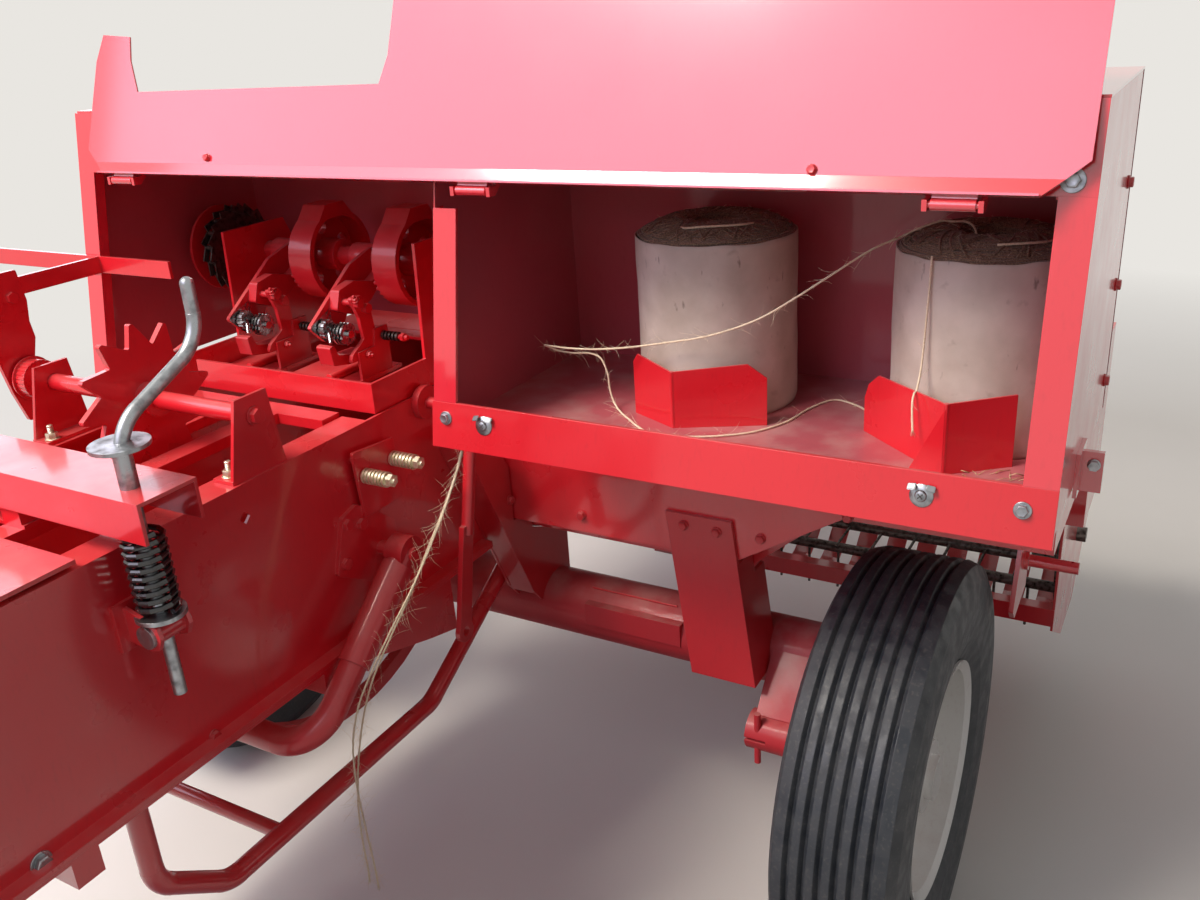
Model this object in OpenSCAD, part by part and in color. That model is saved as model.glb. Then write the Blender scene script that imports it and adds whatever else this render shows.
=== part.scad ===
// Small square baler, trailed, with twine box, knotters and offset pickup.
// Millimetres. Modelled from the point on the ground under the right wheel, X to
// the right, Y towards the tractor, Z up, then moved so that the origin is the
// middle of the plan at ground level.

/* [Wheels] */
// Radius of the ribbed implement tyres
tyre_r = 370; // [350:5:385]
// Width of the tyres
tyre_w = 195; // [170:5:215]
// Radius of the bead seat on the rims
seat_r = 190; // [180:5:200]
// Distance between the two wheel centres
track = 1560; // [1540:10:1600]
// Depth of the grooves between the tyre ribs
groove_depth = 9; // [6:1:12]

/* [Axle] */
// Diameter of the cross tube
axle_d = 130; // [115:5:140]
// Distance of the cross tube forward of the wheel centres
axle_y = 130; // [120:5:140]
// Height of the cross tube's centre
axle_z = 462; // [455:1:470]
// Diameter of the sleeves that clamp the spindles
sleeve_d = 72; // [66:1:80]
// Diameter of the spindles in the hubs
spindle_d = 50; // [44:1:54]

/* [Bale chamber] */
// Outside width of the bale chamber
chamber_w = 470; // [460:5:480]
// Distance from the right wheel centre to the chamber's right face
chamber_gap = 805; // [800:5:815]
// Height of the chamber floor above the ground
floor_z = 652; // [648:1:656]
// Height of the chamber's top rails above the ground
top_z = 1000; // [995:1:1005]
// Distance from the wheel centres back to the chamber's open end
chamber_back = 1450; // [1400:10:1500]
// Thickness of the chamber's plates
plate_t = 5; // [4:0.5:6]
// Width of the flanges along the chamber's edges
flange_w = 55; // [45:5:65]

/* [Plunger case] */
// Distance from the wheel centres forward to the case's front plate
case_front = 1350; // [1330:10:1380]
// Length of the plunger
plunger_l = 500; // [460:10:520]
// Running gap around the plunger
plunger_gap = 8; // [7:1:12]

/* [Knotters and needles] */
// Distance between the two twines
twine_pitch = 200; // [190:5:210]
// Height of the knotter shaft
knotter_z = 1195; // [1190:1:1205]
// Diameter of the knotter shaft
knotter_d = 36; // [30:1:40]
// Radius of the cam discs
cam_r = 84; // [80:2:88]
// Radius of the needles' arc about the yoke pivots
needle_r = 345; // [340:1:352]
// Width of the needles
needle_w = 20; // [16:1:24]
// Distance of the yoke pivots behind the wheel centres
yoke_back = 310; // [300:5:315]
// Height of the yoke pivots
yoke_z = 780; // [775:1:785]
// Diameter of the yoke's tubes
yoke_d = 45; // [40:1:48]
// Diameter of the needle guard's hoops
hoop_d = 33; // [28:1:38]

/* [Metering wheel and tension screws] */
// Tip radius of the toothed metering wheel
star_r = 117; // [110:1:125]
// Number of teeth on the metering wheel
star_teeth = 12; // [10:1:14]
// Diameter of the metering wheel's shaft
star_shaft_d = 28; // [24:1:32]
// Diameter of the tension screws
screw_d = 18; // [16:1:20]
// Outside diameter of the tension springs
spring_d = 58; // [50:1:60]
// Thickness of the springs' wire
wire_d = 8; // [7:0.5:10]

/* [Twine box and hood] */
// Height of the twine box floor
box_floor_z = 1010; // [1005:1:1015]
// Distance from the right wheel centre to the hood's right face
hood_right = 245; // [240:1:255]
// Distance from the right wheel centre to the hood's left face
hood_left = 1450; // [1440:5:1455]
// Height of the roof over the knotters and the twine box
roof_z = 1480; // [1475:1:1490]
// Thickness of the hood's sheets
sheet_t = 3; // [2:0.5:4]
// Width of the hood's posts
post_w = 40; // [36:1:46]
// Diameter of a twine ball
ball_d = 250; // [236:2:256]
// Height of a twine ball
ball_h = 264; // [250:2:280]
// Length of the lid below its hinge
lid_l = 335; // [320:5:345]

/* [Feeder and pickup] */
// Height of the feed chamber's floor
feed_z = 662; // [660:1:668]
// Depth of the feed chamber from back to front
feed_l = 620; // [600:10:640]
// Distance of the pickup reel's axle forward of the wheel centres
reel_y = 930; // [920:5:940]
// Height of the pickup reel's axle
reel_z = 410; // [405:5:420]
// Radius of the tine tips
tine_r = 265; // [255:5:275]
// Diameter of the tines
tine_d = 7; // [6:0.5:8]
// Radius of the stripper bands
band_r = 222; // [215:1:228]
// Distance between neighbouring tines
tine_pitch = 78; // [74:2:84]

/* [Drive and drawbar] */
// Height of the flywheel shaft
drive_z = 900; // [890:5:910]
// Radius of the flywheel
fly_r = 310; // [290:5:320]
// Thickness of the flywheel's rim
fly_w = 80; // [60:5:90]
// Distance of the drawbar's pivot forward of the wheel centres
pivot_y = 1850; // [1830:5:1870]
// Distance of the hitch pin forward of the wheel centres
hitch_y = 3050; // [2950:10:3100]
// Height of the drawbar's middle
bar_z = 478; // [470:2:486]
// Height and width of the drawbar's tube
bar_w = 100; // [90:2:110]
// Diameter of the hole for the tractor's hitch pin
hitch_bore = 32; // [26:1:36]
// Diameter of the bore in the drive shaft's front yoke
pto_bore = 35; // [34.5:0.1:36]
// Diameter of the parking jack's outer tube
jack_d = 64; // [60:1:70]

/* [Hidden] */

// Running gap between a pin and its bore, on the radius
pin_gap = 0.3;
// Gap between faces that seat on each other in different bodies
seat_gap = 0.3;

left_wheel_x = -track;
mid_x = -(chamber_gap + chamber_w / 2);
chamber_r = -chamber_gap;
chamber_l = -(chamber_gap + chamber_w);
twine_x = [mid_x + twine_pitch / 2, mid_x - twine_pitch / 2];
// The needles rise on the right of each knotter's discs
needle_shift = 22;
needle_x = [for (x = twine_x) x + needle_shift];

// The overall box in plan, for the origin
bar_end_x = -1725;
latch_out = 30;
plan_right = hood_right + latch_out;
plan_front = hitch_y + 60;
origin_x = (plan_right + bar_end_x) / 2;
origin_y = (plan_front - chamber_back) / 2;

// Slope of the hood's posts, forward for each unit of height
post_lean = 0.185;
post_foot_y = -315;
post_foot_z = 990;
function post_y(z) = post_foot_y + (z - post_foot_z) * post_lean;

// Basic solids by their limits

module bx(x0, x1, y0, y1, z0, z1) {
    translate([x0, y0, z0]) cube([x1 - x0, y1 - y0, z1 - z0]);
}

// A plate whose outline is given in Y and Z, between two X values
module yz_plate(x0, x1, pts) {
    translate([x0, 0, 0]) rotate([90, 0, 90]) linear_extrude(x1 - x0) polygon(pts);
}

// A plate whose outline is given in X and Z, between two Y values
module xz_plate(y0, y1, pts) {
    translate([0, y1, 0]) rotate([90, 0, 0]) linear_extrude(y1 - y0) polygon(pts);
}

// A cylinder along X
module x_rod(x0, x1, y, z, d) {
    translate([x0, y, z]) rotate([0, 90, 0]) cylinder(d = d, h = x1 - x0, $fn = 48);
}

// A toothed or notched disc along X, with n round cuts in its rim
module toothed(x0, x1, y, z, r, n, cut_d) {
    difference() {
        x_rod(x0, x1, y, z, 2 * r);
        for (k = [0 : n - 1])
            translate([0, y, z]) rotate([k * 360 / n, 0, 0])
                x_rod(x0 - 1, x1 + 1, r + cut_d * 0.2, 0, cut_d);
    }
}

// A hexagonal bolt head or nut along X
module x_hex(x0, x1, y, z, d) {
    translate([x0, y, z]) rotate([0, 90, 0]) cylinder(d = d, h = x1 - x0, $fn = 6);
}

// Pieces on the outside of a side plate, with X counted outward from its face
module outside(x_face, out) {
    translate([x_face, 0, 0]) {
        if (out > 0) children();
        else mirror([1, 0, 0]) children();
    }
}

// A cylinder between two points
module rod(p, q, d) {
    v = q - p;
    l = norm(v);
    translate(p)
        rotate([0, acos(v[2] / l), atan2(v[1], v[0])])
            cylinder(d = d, h = l, $fn = 32);
}

function unit(v) = v / norm(v);

// Length that a bend of radius r takes from each leg at corner b
function bend_cut(a, b, c, r) = r * tan(acos(unit(b - a) * unit(c - b)) / 2);

// How far straights run into bends, and how much a bend swells a bar's radius
bend_lap = 1;
bend_swell = 0.3;

// A bar or tube along a path, with true bends of radius r at its corners
module bent_rod(pts, d, r = 60) {
    last = len(pts) - 1;
    cuts = [for (i = [0 : last])
        i == 0 || i == last ? 0 : bend_cut(pts[i - 1], pts[i], pts[i + 1], r)];
    for (i = [0 : last - 1]) {
        u = unit(pts[i + 1] - pts[i]);
        // Each straight runs a little way into its bends
        a = i == 0 ? 0 : cuts[i] - bend_lap;
        b = i == last - 1 ? 0 : cuts[i + 1] - bend_lap;
        rod(pts[i] + a * u, pts[i + 1] - b * u, d);
    }
    if (last > 1)
        for (i = [1 : last - 1]) {
            u = unit(pts[i] - pts[i - 1]);
            v = unit(pts[i + 1] - pts[i]);
            n = unit(cross(u, v));
            side = cross(n, u);
            start = pts[i] - cuts[i] * u;
            mid = start + r * side;
            multmatrix([
                [-side[0], u[0], n[0], mid[0]],
                [-side[1], u[1], n[1], mid[1]],
                [-side[2], u[2], n[2], mid[2]],
                [0, 0, 0, 1]
            ])
                rotate_extrude(angle = acos(u * v), $fn = 64)
                    translate([r, 0]) circle(d = d + 2 * bend_swell, $fn = 32);
        }
}

// Corner b of an outline as the points of an arc of radius r
function round_corner(a, b, c, r, n = 4) =
    let (
        u = unit(a - b),
        v = unit(c - b),
        half = acos(u * v) / 2,
        mid = b + unit(u + v) * r / sin(half),
        p = b + u * r / tan(half) - mid,
        q = b + v * r / tan(half) - mid,
        a0 = atan2(p[1], p[0]),
        d = atan2(q[1], q[0]) - a0,
        turn = d > 180 ? d - 360 : d < -180 ? d + 360 : d
    )
    [for (k = [0 : n]) mid + r * [cos(a0 + turn * k / n), sin(a0 + turn * k / n)]];

// An outline with all of its corners rounded
function rounded(pts, r, n = 4) =
    let (m = len(pts))
    [for (i = [0 : m - 1]) each
        round_corner(pts[(i + m - 1) % m], pts[i], pts[(i + 1) % m], r, n)];

function path_dir(p, i) = unit(p[min(i + 1, len(p) - 1)] - p[max(i - 1, 0)]);
function across(n, t) = unit(n - (n * t) * t);

// A round wire or cord along a path, as one closed solid
module swept(p, d, sides = 8) {
    last = len(p) - 1;
    first = abs(path_dir(p, 0)[2]) > 0.8 ? [1, 0, 0] : [0, 0, 1];
    ns = [for (i = 0, n = across(first, path_dir(p, 0)); i <= last;
               i = i + 1, n = i > last ? n : across(n, path_dir(p, i))) n];
    rings = [for (i = [0 : last]) each
        let (b = cross(path_dir(p, i), ns[i]))
        [for (k = [0 : sides - 1])
            p[i] + d / 2 * (cos(k * 360 / sides) * ns[i] + sin(k * 360 / sides) * b)]];
    walls = [for (i = [0 : last - 1]) each
        [for (k = [0 : sides - 1]) [
            i * sides + k, (i + 1) * sides + k,
            (i + 1) * sides + (k + 1) % sides, i * sides + (k + 1) % sides
        ]]];
    ends = [
        [for (k = [0 : sides - 1]) k],
        [for (k = [sides - 1 : -1 : 0]) last * sides + k]
    ];
    polyhedron(rings, concat(ends, walls));
}

// Wheels

hub_r = 62;
rim_half = tyre_w * 0.40;
disc_t = 8;
hub_l = 120;

// One ribbed tyre, round the X axis
module tyre_form() {
    half = tyre_w / 2;
    ribs = 7;
    pitch = tyre_w * 0.86 / ribs;
    crown = [for (i = [0 : ribs - 2]) each [
        [tyre_r, -tyre_w * 0.43 + (i + 1) * pitch - 6],
        [tyre_r - groove_depth, -tyre_w * 0.43 + (i + 1) * pitch],
        [tyre_r, -tyre_w * 0.43 + (i + 1) * pitch + 6]
    ]];
    rotate([0, 90, 0])
        rotate_extrude($fn = 96)
            polygon(concat(
                [[seat_r, -rim_half + 6], [seat_r + 14, -rim_half],
                 [seat_r + 50, -half + 6], [tyre_r - 75, -half],
                 [tyre_r - 28, -half + 3], [tyre_r - 6, -tyre_w * 0.43]],
                crown,
                [[tyre_r - 6, tyre_w * 0.43], [tyre_r - 28, half - 3],
                 [tyre_r - 75, half], [seat_r + 50, half - 6],
                 [seat_r + 14, rim_half], [seat_r, rim_half - 6]]
            ));
}

// One rim with its dished disc and hub, bored for the spindle
module rim_form(side) {
    difference() {
        rotate([0, 90, 0]) union() {
            rotate_extrude($fn = 96)
                polygon([
                    [seat_r - 5, -rim_half + 2], [seat_r + 12, -rim_half - 6],
                    [seat_r + 12, -rim_half - 1], [seat_r, -rim_half + 6],
                    [seat_r, rim_half - 6], [seat_r + 12, rim_half + 1],
                    [seat_r + 12, rim_half + 6], [seat_r - 5, rim_half - 2]
                ]);
            rotate_extrude($fn = 96)
                polygon([
                    [0, side * 20], [95, side * 20], [seat_r - 4, side * -18],
                    [seat_r - 4, side * (-18 + disc_t)], [98, side * (20 + disc_t)],
                    [0, side * (20 + disc_t)]
                ]);
            translate([0, 0, -hub_l / 2]) cylinder(r = hub_r, h = hub_l, $fn = 64);
            translate([0, 0, side > 0 ? hub_l / 2 : -hub_l / 2 - 14])
                cylinder(r = 38, h = 14, $fn = 48);
            for (a = [0 : 60 : 300])
                rotate([0, 0, a]) translate([80, 0, side > 0 ? 20 : -48])
                    cylinder(r = 9, h = 28, $fn = 6);
        }
        translate([side > 0 ? -hub_l : -hub_l / 2 + 10, 0, 0]) rotate([0, 90, 0])
            cylinder(d = spindle_d + 2 * pin_gap, h = hub_l * 1.5 - 10, $fn = 48);
    }
}

module tyre_right() { color("#2A2B2D") translate([0, 0, tyre_r]) tyre_form(); }
module tyre_left() { color("#2A2B2D") translate([left_wheel_x, 0, tyre_r]) tyre_form(); }
module rim_right() { color("#E8E6E0") translate([0, 0, tyre_r]) rim_form(1); }
module rim_left() { color("#E8E6E0") translate([left_wheel_x, 0, tyre_r]) rim_form(-1); }

// Axle

sleeve_l = 150;
arm_t = 8;

// One end of the axle: arm, clamp sleeve and spindle. side is 1 on the right.
module axle_end(wheel_x, side) {
    inner = wheel_x - side * (tyre_w / 2 + 12);
    a = side > 0 ? inner - sleeve_l : inner;
    difference() {
        union() {
            x_rod(a, a + sleeve_l, 0, tyre_r, sleeve_d);
            for (t = [0, 1])
                yz_plate(a + 12 + t * 84, a + 12 + arm_t + t * 84, [
                    [-10, tyre_r - 20], [30, tyre_r - 30], [axle_y + 30, axle_z - 58],
                    [axle_y + 55, axle_z + 10], [axle_y, axle_z + 60],
                    [axle_y - 40, axle_z + 45], [-5, tyre_r + 34]
                ]);
            yz_plate(a + 12, a + 96 + arm_t, [
                [-5, tyre_r + 30], [axle_y - 40, axle_z + 40],
                [axle_y - 43, axle_z + 47], [-8, tyre_r + 37]
            ]);
        }
        bx(a - 1, a + 40, -sleeve_d, -sleeve_d * 0.30, tyre_r - 3, tyre_r + 3);
    }
    spindle_far = wheel_x + side * (hub_l / 2 - 14);
    x_rod(min(inner, spindle_far), max(inner, spindle_far), 0, tyre_r, spindle_d);
    translate([a + 22, -26, tyre_r - 52]) cylinder(d = 12, h = 104, $fn = 24);
}

module axle() {
    color("#C4161C") {
        x_rod(left_wheel_x + tyre_w / 2 + 50, -tyre_w / 2 - 50, axle_y, axle_z, axle_d);
        axle_end(0, 1);
        axle_end(left_wheel_x, -1);
        bx(-640, -430, axle_y - axle_d / 2 - 2, axle_y - axle_d / 2 + 30,
           axle_z - 5, axle_z + 42);
    }
}

// Legs between the axle and the chamber and feed chamber, a third as wide as the
// space between the chamber and the left tyre
leg_w = (track - tyre_w / 2 - chamber_gap - chamber_w) / 3;
leg_top = floor_z + 250;
leg_top_y = -130;
leg_foot = [axle_y - 90, axle_z + 60];
// Rear edge of the legs at a height
function leg_edge(z) =
    leg_top_y + (leg_top - z) * (leg_foot[0] - leg_top_y) / (leg_top - leg_foot[1]);
strut_top = 782;
// Left edge, 0, or right edge, 1, of the slanted channel at a height
function strut_x(side, z) = -414 + side * 124 + (strut_top - z) * 0.13;
module axle_legs() {
    color("#B3151B") {
        for (x = [chamber_r + seat_gap, chamber_l - leg_w - seat_gap])
            difference() {
                union() {
                    for (e = [x, x + leg_w - 6])
                        yz_plate(e, e + 6, [
                            [leg_top_y, leg_top], [-60, leg_top], [-3, leg_top - 90],
                            [-3, back_z - 3], [feed_step - 3, back_z - 3],
                            [feed_step - 3, feed_z - 3], [axle_y + 50, feed_z - 60],
                            [axle_y + 50, axle_z],
                            [axle_y - 40, axle_z], leg_foot
                        ]);
                    yz_plate(x + 3, x + leg_w - 3, [
                        [leg_top_y, leg_top], [leg_top_y + 8, leg_top],
                        [leg_foot[0] + 12, leg_foot[1] - 10], [leg_foot[0] + 6, leg_foot[1] - 10]
                    ]);
                }
                x_rod(x - 1, x + leg_w + 1, axle_y, axle_z, axle_d);
            }
        // Slanted channel that hangs from the feed chamber's back sheet to the axle
        difference() {
            union() {
                xz_plate(-8, -seat_gap, [
                    [strut_x(0, strut_top), strut_top], [strut_x(1, strut_top), strut_top],
                    [strut_x(1, axle_z), axle_z], [strut_x(0, axle_z), axle_z]
                ]);
                for (side = [0, 1], e = [[feed_step - 3, back_z - 2], [axle_y - 30, feed_z - 3]])
                    xz_plate(-8, e[0], [
                        [strut_x(side, e[1]), e[1]],
                        [strut_x(side, e[1]) + (1 - 2 * side) * 7, e[1]],
                        [strut_x(side, axle_z) + (1 - 2 * side) * 7, axle_z],
                        [strut_x(side, axle_z), axle_z]
                    ]);
            }
            x_rod(-460, -220, axle_y, axle_z, axle_d);
        }
    }
}

// Bale chamber

slot_w = needle_w + 16;
// The outer flanges along the floor end behind the legs
flange_end = leg_edge(floor_z) - 10;

module side_plate(x_face, inward) {
    x1 = inward > 0 ? x_face : x_face - plate_t;
    difference() {
        union() {
            bx(x1, x1 + plate_t, -chamber_back, -5, floor_z, top_z);
            // Top flange, turned inward
            bx(inward > 0 ? x_face : x_face - flange_w, inward > 0 ? x_face + flange_w : x_face,
               -chamber_back, -290, top_z - plate_t, top_z);
            // Stiffener along the bottom, outside
            bx(inward > 0 ? x_face - 25 : x_face, inward > 0 ? x_face : x_face + 25,
               -chamber_back, flange_end, floor_z, floor_z + 8);
        }
        // Square hole for the stop of the tension beam
        translate([x_face, -568, 950]) rotate([45, 0, 0]) cube([40, 14, 14], center = true);
    }
}

// Pivot pin of the needle yoke and its plate with three bolts, outside a side plate
yoke_pin_d = 25;
module yoke_pin() {
    x_rod(0, yoke_x + 26, yoke_y, yoke_z, yoke_pin_d);
    yz_plate(0, 8, rounded([
        [yoke_y - 42, yoke_z + 98], [yoke_y - 78, yoke_z + 88], [yoke_y - 108, yoke_z - 2],
        [yoke_y - 35, yoke_z - 48], [yoke_y + 40, yoke_z - 32], [yoke_y + 42, yoke_z + 34]
    ], 8));
    for (p = [[-70, 74], [-88, 12], [-40, 62]])
        x_hex(8, 15, yoke_y + p[0], yoke_z + p[1], 20);
}

// Folded bracket with the spring bolts of the two hay dogs, outside a side plate
dog_spring_d = 26;
module hay_dogs() {
    yz_plate(8, 14, rounded([[-351, 967], [-251, 957], [-244, 849], [-342, 850]], 4));
    bx(0, 14, -344, -258, 948, 954);
    for (p = [[-330, 921], [-260, 924]]) {
        x_rod(0, 78, p[0], p[1], 9);
        for (k = [0 : 6])
            x_rod(16 + 7 * k, 20 + 7 * k, p[0], p[1], dog_spring_d);
        x_rod(14, 65, p[0], p[1], dog_spring_d - 7);
        x_hex(65, 74, p[0], p[1], 22);
    }
}

module chamber_side_right() {
    color("#D81E25") {
        side_plate(chamber_r, -1);
        outside(chamber_r, 1) {
            yoke_pin();
            hay_dogs();
        }
    }
}
module chamber_side_left() {
    color("#D81E25") {
        side_plate(chamber_l, 1);
        outside(chamber_l, -1) {
            yoke_pin();
            hay_dogs();
        }
    }
}

module chamber_floor() {
    color("#C4161C") difference() {
        union() {
            bx(chamber_l, chamber_r, -chamber_back, -5, floor_z - plate_t, floor_z);
            bx(chamber_l - 25, chamber_r + 25, -chamber_back, flange_end,
               floor_z - plate_t, floor_z);
            for (y = [20 - chamber_back, -chamber_back * 0.66, -500])
                bx(chamber_l - 25, chamber_r + 25, y, y + 40, floor_z - 45, floor_z - plate_t);
        }
        for (x = needle_x) bx(x - slot_w / 2, x + slot_w / 2, -60, 10, floor_z - 60, floor_z + 1);
    }
    // Skirts that hang from the floor's flanges
    color("#C4161C")
        for (s = [[chamber_r, 1], [chamber_l, -1]])
            outside(s[0], s[1])
                yz_plate(8, 14, [
                    [-442, floor_z - plate_t], [-442, 624], [-322, 583], [-224, 552],
                    [-150, 532], [-153, floor_z - plate_t]
                ]);
}

// Rails and cross plates along the top of the chamber
module chamber_top_rails() {
    color("#C4161C") {
        for (x = [mid_x - 75, mid_x + 35])
            bx(x, x + 40, -chamber_back, -290, top_z - 12, top_z + 6);
        for (y = [-chamber_back, -1210, -950])
            bx(chamber_l + 2, chamber_r - 2, y, y + 120, top_z + 6, top_z + 12);
        bx(chamber_l + flange_w + 6, chamber_r - flange_w - 6, -330, -290, top_z - 12, top_z + 6);
    }
}

// Tension device

beam_y = -800;
beam_top = 1090;
module tension_beams() {
    color("#E02027") {
        // Upper channel, open below
        difference() {
            bx(-1375, -705, beam_y, beam_y + 90, beam_top - 55, beam_top);
            bx(-1376, -704, beam_y + 5, beam_y + 85, beam_top - 56, beam_top - 5);
            for (x = [screw_x_right, screw_x_left])
                translate([x, screw_y, beam_top - 10]) cylinder(d = screw_d + 3, h = 20, $fn = 32);
        }
        // Saddles that stand the channel on the top rails
        for (x = [mid_x - 75, mid_x + 35])
            bx(x, x + 40, beam_y + 5, beam_y + 85, top_z + 12, beam_top - 5);
        bx(mid_x - 80, mid_x + 80, beam_y + 5, beam_y + 85, top_z + 6, top_z + 12);
        // Forks on the side plates with the trunnions that the screws turn in
        for (s = [1, -1]) {
            x = s > 0 ? chamber_r : chamber_l;
            far = s > 0 ? screw_x_right : screw_x_left;
            difference() {
                union() {
                    bx(min(x, x + s * 6), max(x, x + s * 6), screw_y - 40, screw_y + 40, 862, 930);
                    for (y = [screw_y - 26, screw_y + 20])
                        xz_plate(y, y + 6, [
                            [x, 925], [far, 913], [far + s * 20, 905], [far + s * 24, 890],
                            [far + s * 16, 873], [far, 868], [x, 874]
                        ]);
                    rod([far, screw_y - 31, 890], [far, screw_y + 31, 890], 32);
                    translate([far, screw_y, 909]) cylinder(d = spring_d + 8, h = 6, $fn = 48);
                }
                translate([far, screw_y, 860]) cylinder(d = screw_d + 3, h = 60, $fn = 32);
            }
        }
    }
}

screw_x_right = chamber_r + 45;
screw_x_left = chamber_l - 45;
screw_y = -765;

// One tension screw: rod, spring, washer and cranked handle
module tension_screw(x) {
    handle_y = screw_y + 145;
    color("#8F9296") {
        bent_rod([
            [x, screw_y, 790], [x, screw_y, 1165], [x, handle_y, 1235], [x, handle_y, 1310]
        ], screw_d);
        translate([x, screw_y, beam_top]) cylinder(d = screw_d + 6, h = 54, $fn = 40);
        translate([x, screw_y, beam_top + 54]) cylinder(d = 74, h = 5, $fn = 48);
        translate([x, handle_y, 1310]) sphere(d = screw_d, $fn = 32);
    }
}
module tension_screw_right() { tension_screw(screw_x_right); }
module tension_screw_left() { tension_screw(screw_x_left); }

// Coil springs between the side brackets and the channel, with closed end turns
spring_turns = 10;
spring_z0 = 915 + wire_d / 2 + seat_gap;
spring_z1 = beam_top - 55 - wire_d / 2 - seat_gap;
module tension_springs() {
    r = (spring_d - wire_d) / 2;
    step = 30;
    color("#1B1B1D")
        for (x = [screw_x_right, screw_x_left])
            swept([for (a = [0 : step : 360 * spring_turns]) [
                x + r * cos(a), screw_y + r * sin(a),
                spring_z0 + (spring_z1 - spring_z0) * a / 360 / spring_turns
            ]], wire_d);
}

// Metering wheel that the bale turns

star_y = -512;
roller_r = 33;
roller_x = chamber_l - 44;
star_z = 1087;
module star_wheel() {
    root_r = star_r * 0.70;
    step = 360 / star_teeth;
    outline = [for (i = [0 : star_teeth - 1]) each [
        star_r * [cos(i * step), sin(i * step)],
        star_r * [cos(i * step + 3), sin(i * step + 3)],
        root_r * [cos(i * step + step * 0.36), sin(i * step + step * 0.36)]
    ]];
    color("#D01C22") {
        translate([mid_x - 5, star_y, star_z]) rotate([90, 0, 90]) linear_extrude(10)
            polygon(rounded(outline, 2.5, 3));
        x_rod(roller_x, chamber_r - 3, star_y, star_z, star_shaft_d);
        x_hex(chamber_r - 3, chamber_r + 6, star_y, star_z, 24);
        x_rod(mid_x - 30, mid_x + 30, star_y, star_z, 52);
        // Knurled roller that lifts the metering arm
        toothed(roller_x, roller_x + 22, star_y, star_z, roller_r, 28, 3);
        x_rod(roller_x - 3, roller_x, star_y, star_z, 2 * roller_r + 8);
    }
}

module star_brackets() {
    color("#D81E25")
        for (s = [[chamber_r - 12, chamber_r - 6, 1], [chamber_l + 6, chamber_l + 12, -1]])
            difference() {
                union() {
                    yz_plate(s[0], s[1], [
                        [star_y - 60, top_z], [star_y + 45, top_z],
                        [star_y + 30, star_z + 32], [star_y - 30, star_z + 32]
                    ]);
                    bx(s[2] > 0 ? s[0] - 34 : s[0], s[2] > 0 ? s[1] : s[1] + 34,
                       star_y - 60, star_y + 45, top_z, top_z + 6);
                }
                x_rod(s[0] - 1, s[1] + 1, star_y, star_z, star_shaft_d + 2 * pin_gap);
            }
}

// Trip bar and curved arm that set the length of the bales
arm_x = roller_x - 3 - 5;
trip_z = 1222;
trip_y = post_y(trip_z - 15) - 5 - seat_gap;
module metering_arm() {
    neck_x = -1398;
    joint_y = -514;
    color("#D01C22") {
        bx(bar_end_x, chamber_l + 60, trip_y - 6, trip_y, trip_z - 15, trip_z + 15);
        // Neck and cross bar that reach the arm outside the lid's swing
        bx(neck_x - 8, neck_x, joint_y - 6, trip_y - 3, trip_z - 15, trip_z + 15);
        bx(neck_x - 8, arm_x - 4, joint_y - 6, joint_y, trip_z - 15, trip_z + 15);
        // Curved arm that carries the roller
        yz_plate(arm_x - 8, arm_x, rounded([
            [-486, 1150], [-489, 1178], [-484, 1212], [-490, 1264], [-519, 1264],
            [-536, 1212], [-558, 1125], [-548, 1070], [-533, 1018], [-505, 1018],
            [-500, 1105]
        ], 3, 2));
        x_hex(neck_x - 14, neck_x - 8, trip_y - 22, trip_z, 20);
        x_hex(arm_x, arm_x + 6, joint_y + 6, trip_z, 20);
    }
}

// Plunger case and plunger

case_top_z = top_z + 8;
opening_y0 = 60;
opening_y1 = 600;
module plunger_case() {
    color("#C4161C") {
        difference() {
            bx(chamber_l, chamber_r, -5, case_front, floor_z - plate_t, case_top_z);
            bx(chamber_l + plate_t, chamber_r - plate_t, -6, case_front - plate_t,
               floor_z, case_top_z - plate_t);
            // Open top under the knotters
            bx(chamber_l + 60, chamber_r - 60, -6, 150, case_top_z - 10, case_top_z + 1);
            // Mouth of the feed chamber
            bx(chamber_r - 10, chamber_r + 1, opening_y0, opening_y1, feed_z + 4, 990);
            // Slots for the needles
            for (x = needle_x)
                bx(x - slot_w / 2, x + slot_w / 2, -6, 60, floor_z - 10, floor_z + 1);
        }
        // Ribs across the case
        for (y = [300, 700, 1100])
            bx(chain_x + 23 + seat_gap, chamber_r + (y > opening_y1 ? 20 : 0), y, y + 40,
               case_top_z, case_top_z + 30);
    }
}

// The plunger: slotted face, side boxes, runners
plunger_home = 420;
module plunger() {
    g = plunger_gap;
    x0 = chamber_l + plate_t + g;
    x1 = chamber_r - plate_t - g;
    y0 = plunger_home;
    color("#7A1A1E") difference() {
        bx(x0, x1, y0, y0 + plunger_l, floor_z + seat_gap, case_top_z - plate_t - g);
        // Needle slots through the rear half
        for (x = needle_x)
            bx(x - slot_w / 2, x + slot_w / 2, y0 - 1, y0 + plunger_l * 0.72, floor_z - 1, top_z + 20);
        // Hollow behind the face
        bx(x0 + 30, x1 - 30, y0 + 60, y0 + plunger_l + 1, floor_z + 40, top_z - 50);
    }
}

// Feed chamber across the machine, open to the front, with the lugs of the pickup
// and of the wind guard

arch_z = 820;
feed_right = 215;
// The floor steps up to this height at the back, ahead of the axle
back_z = feed_z + 41;
feed_step = 60;

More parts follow.
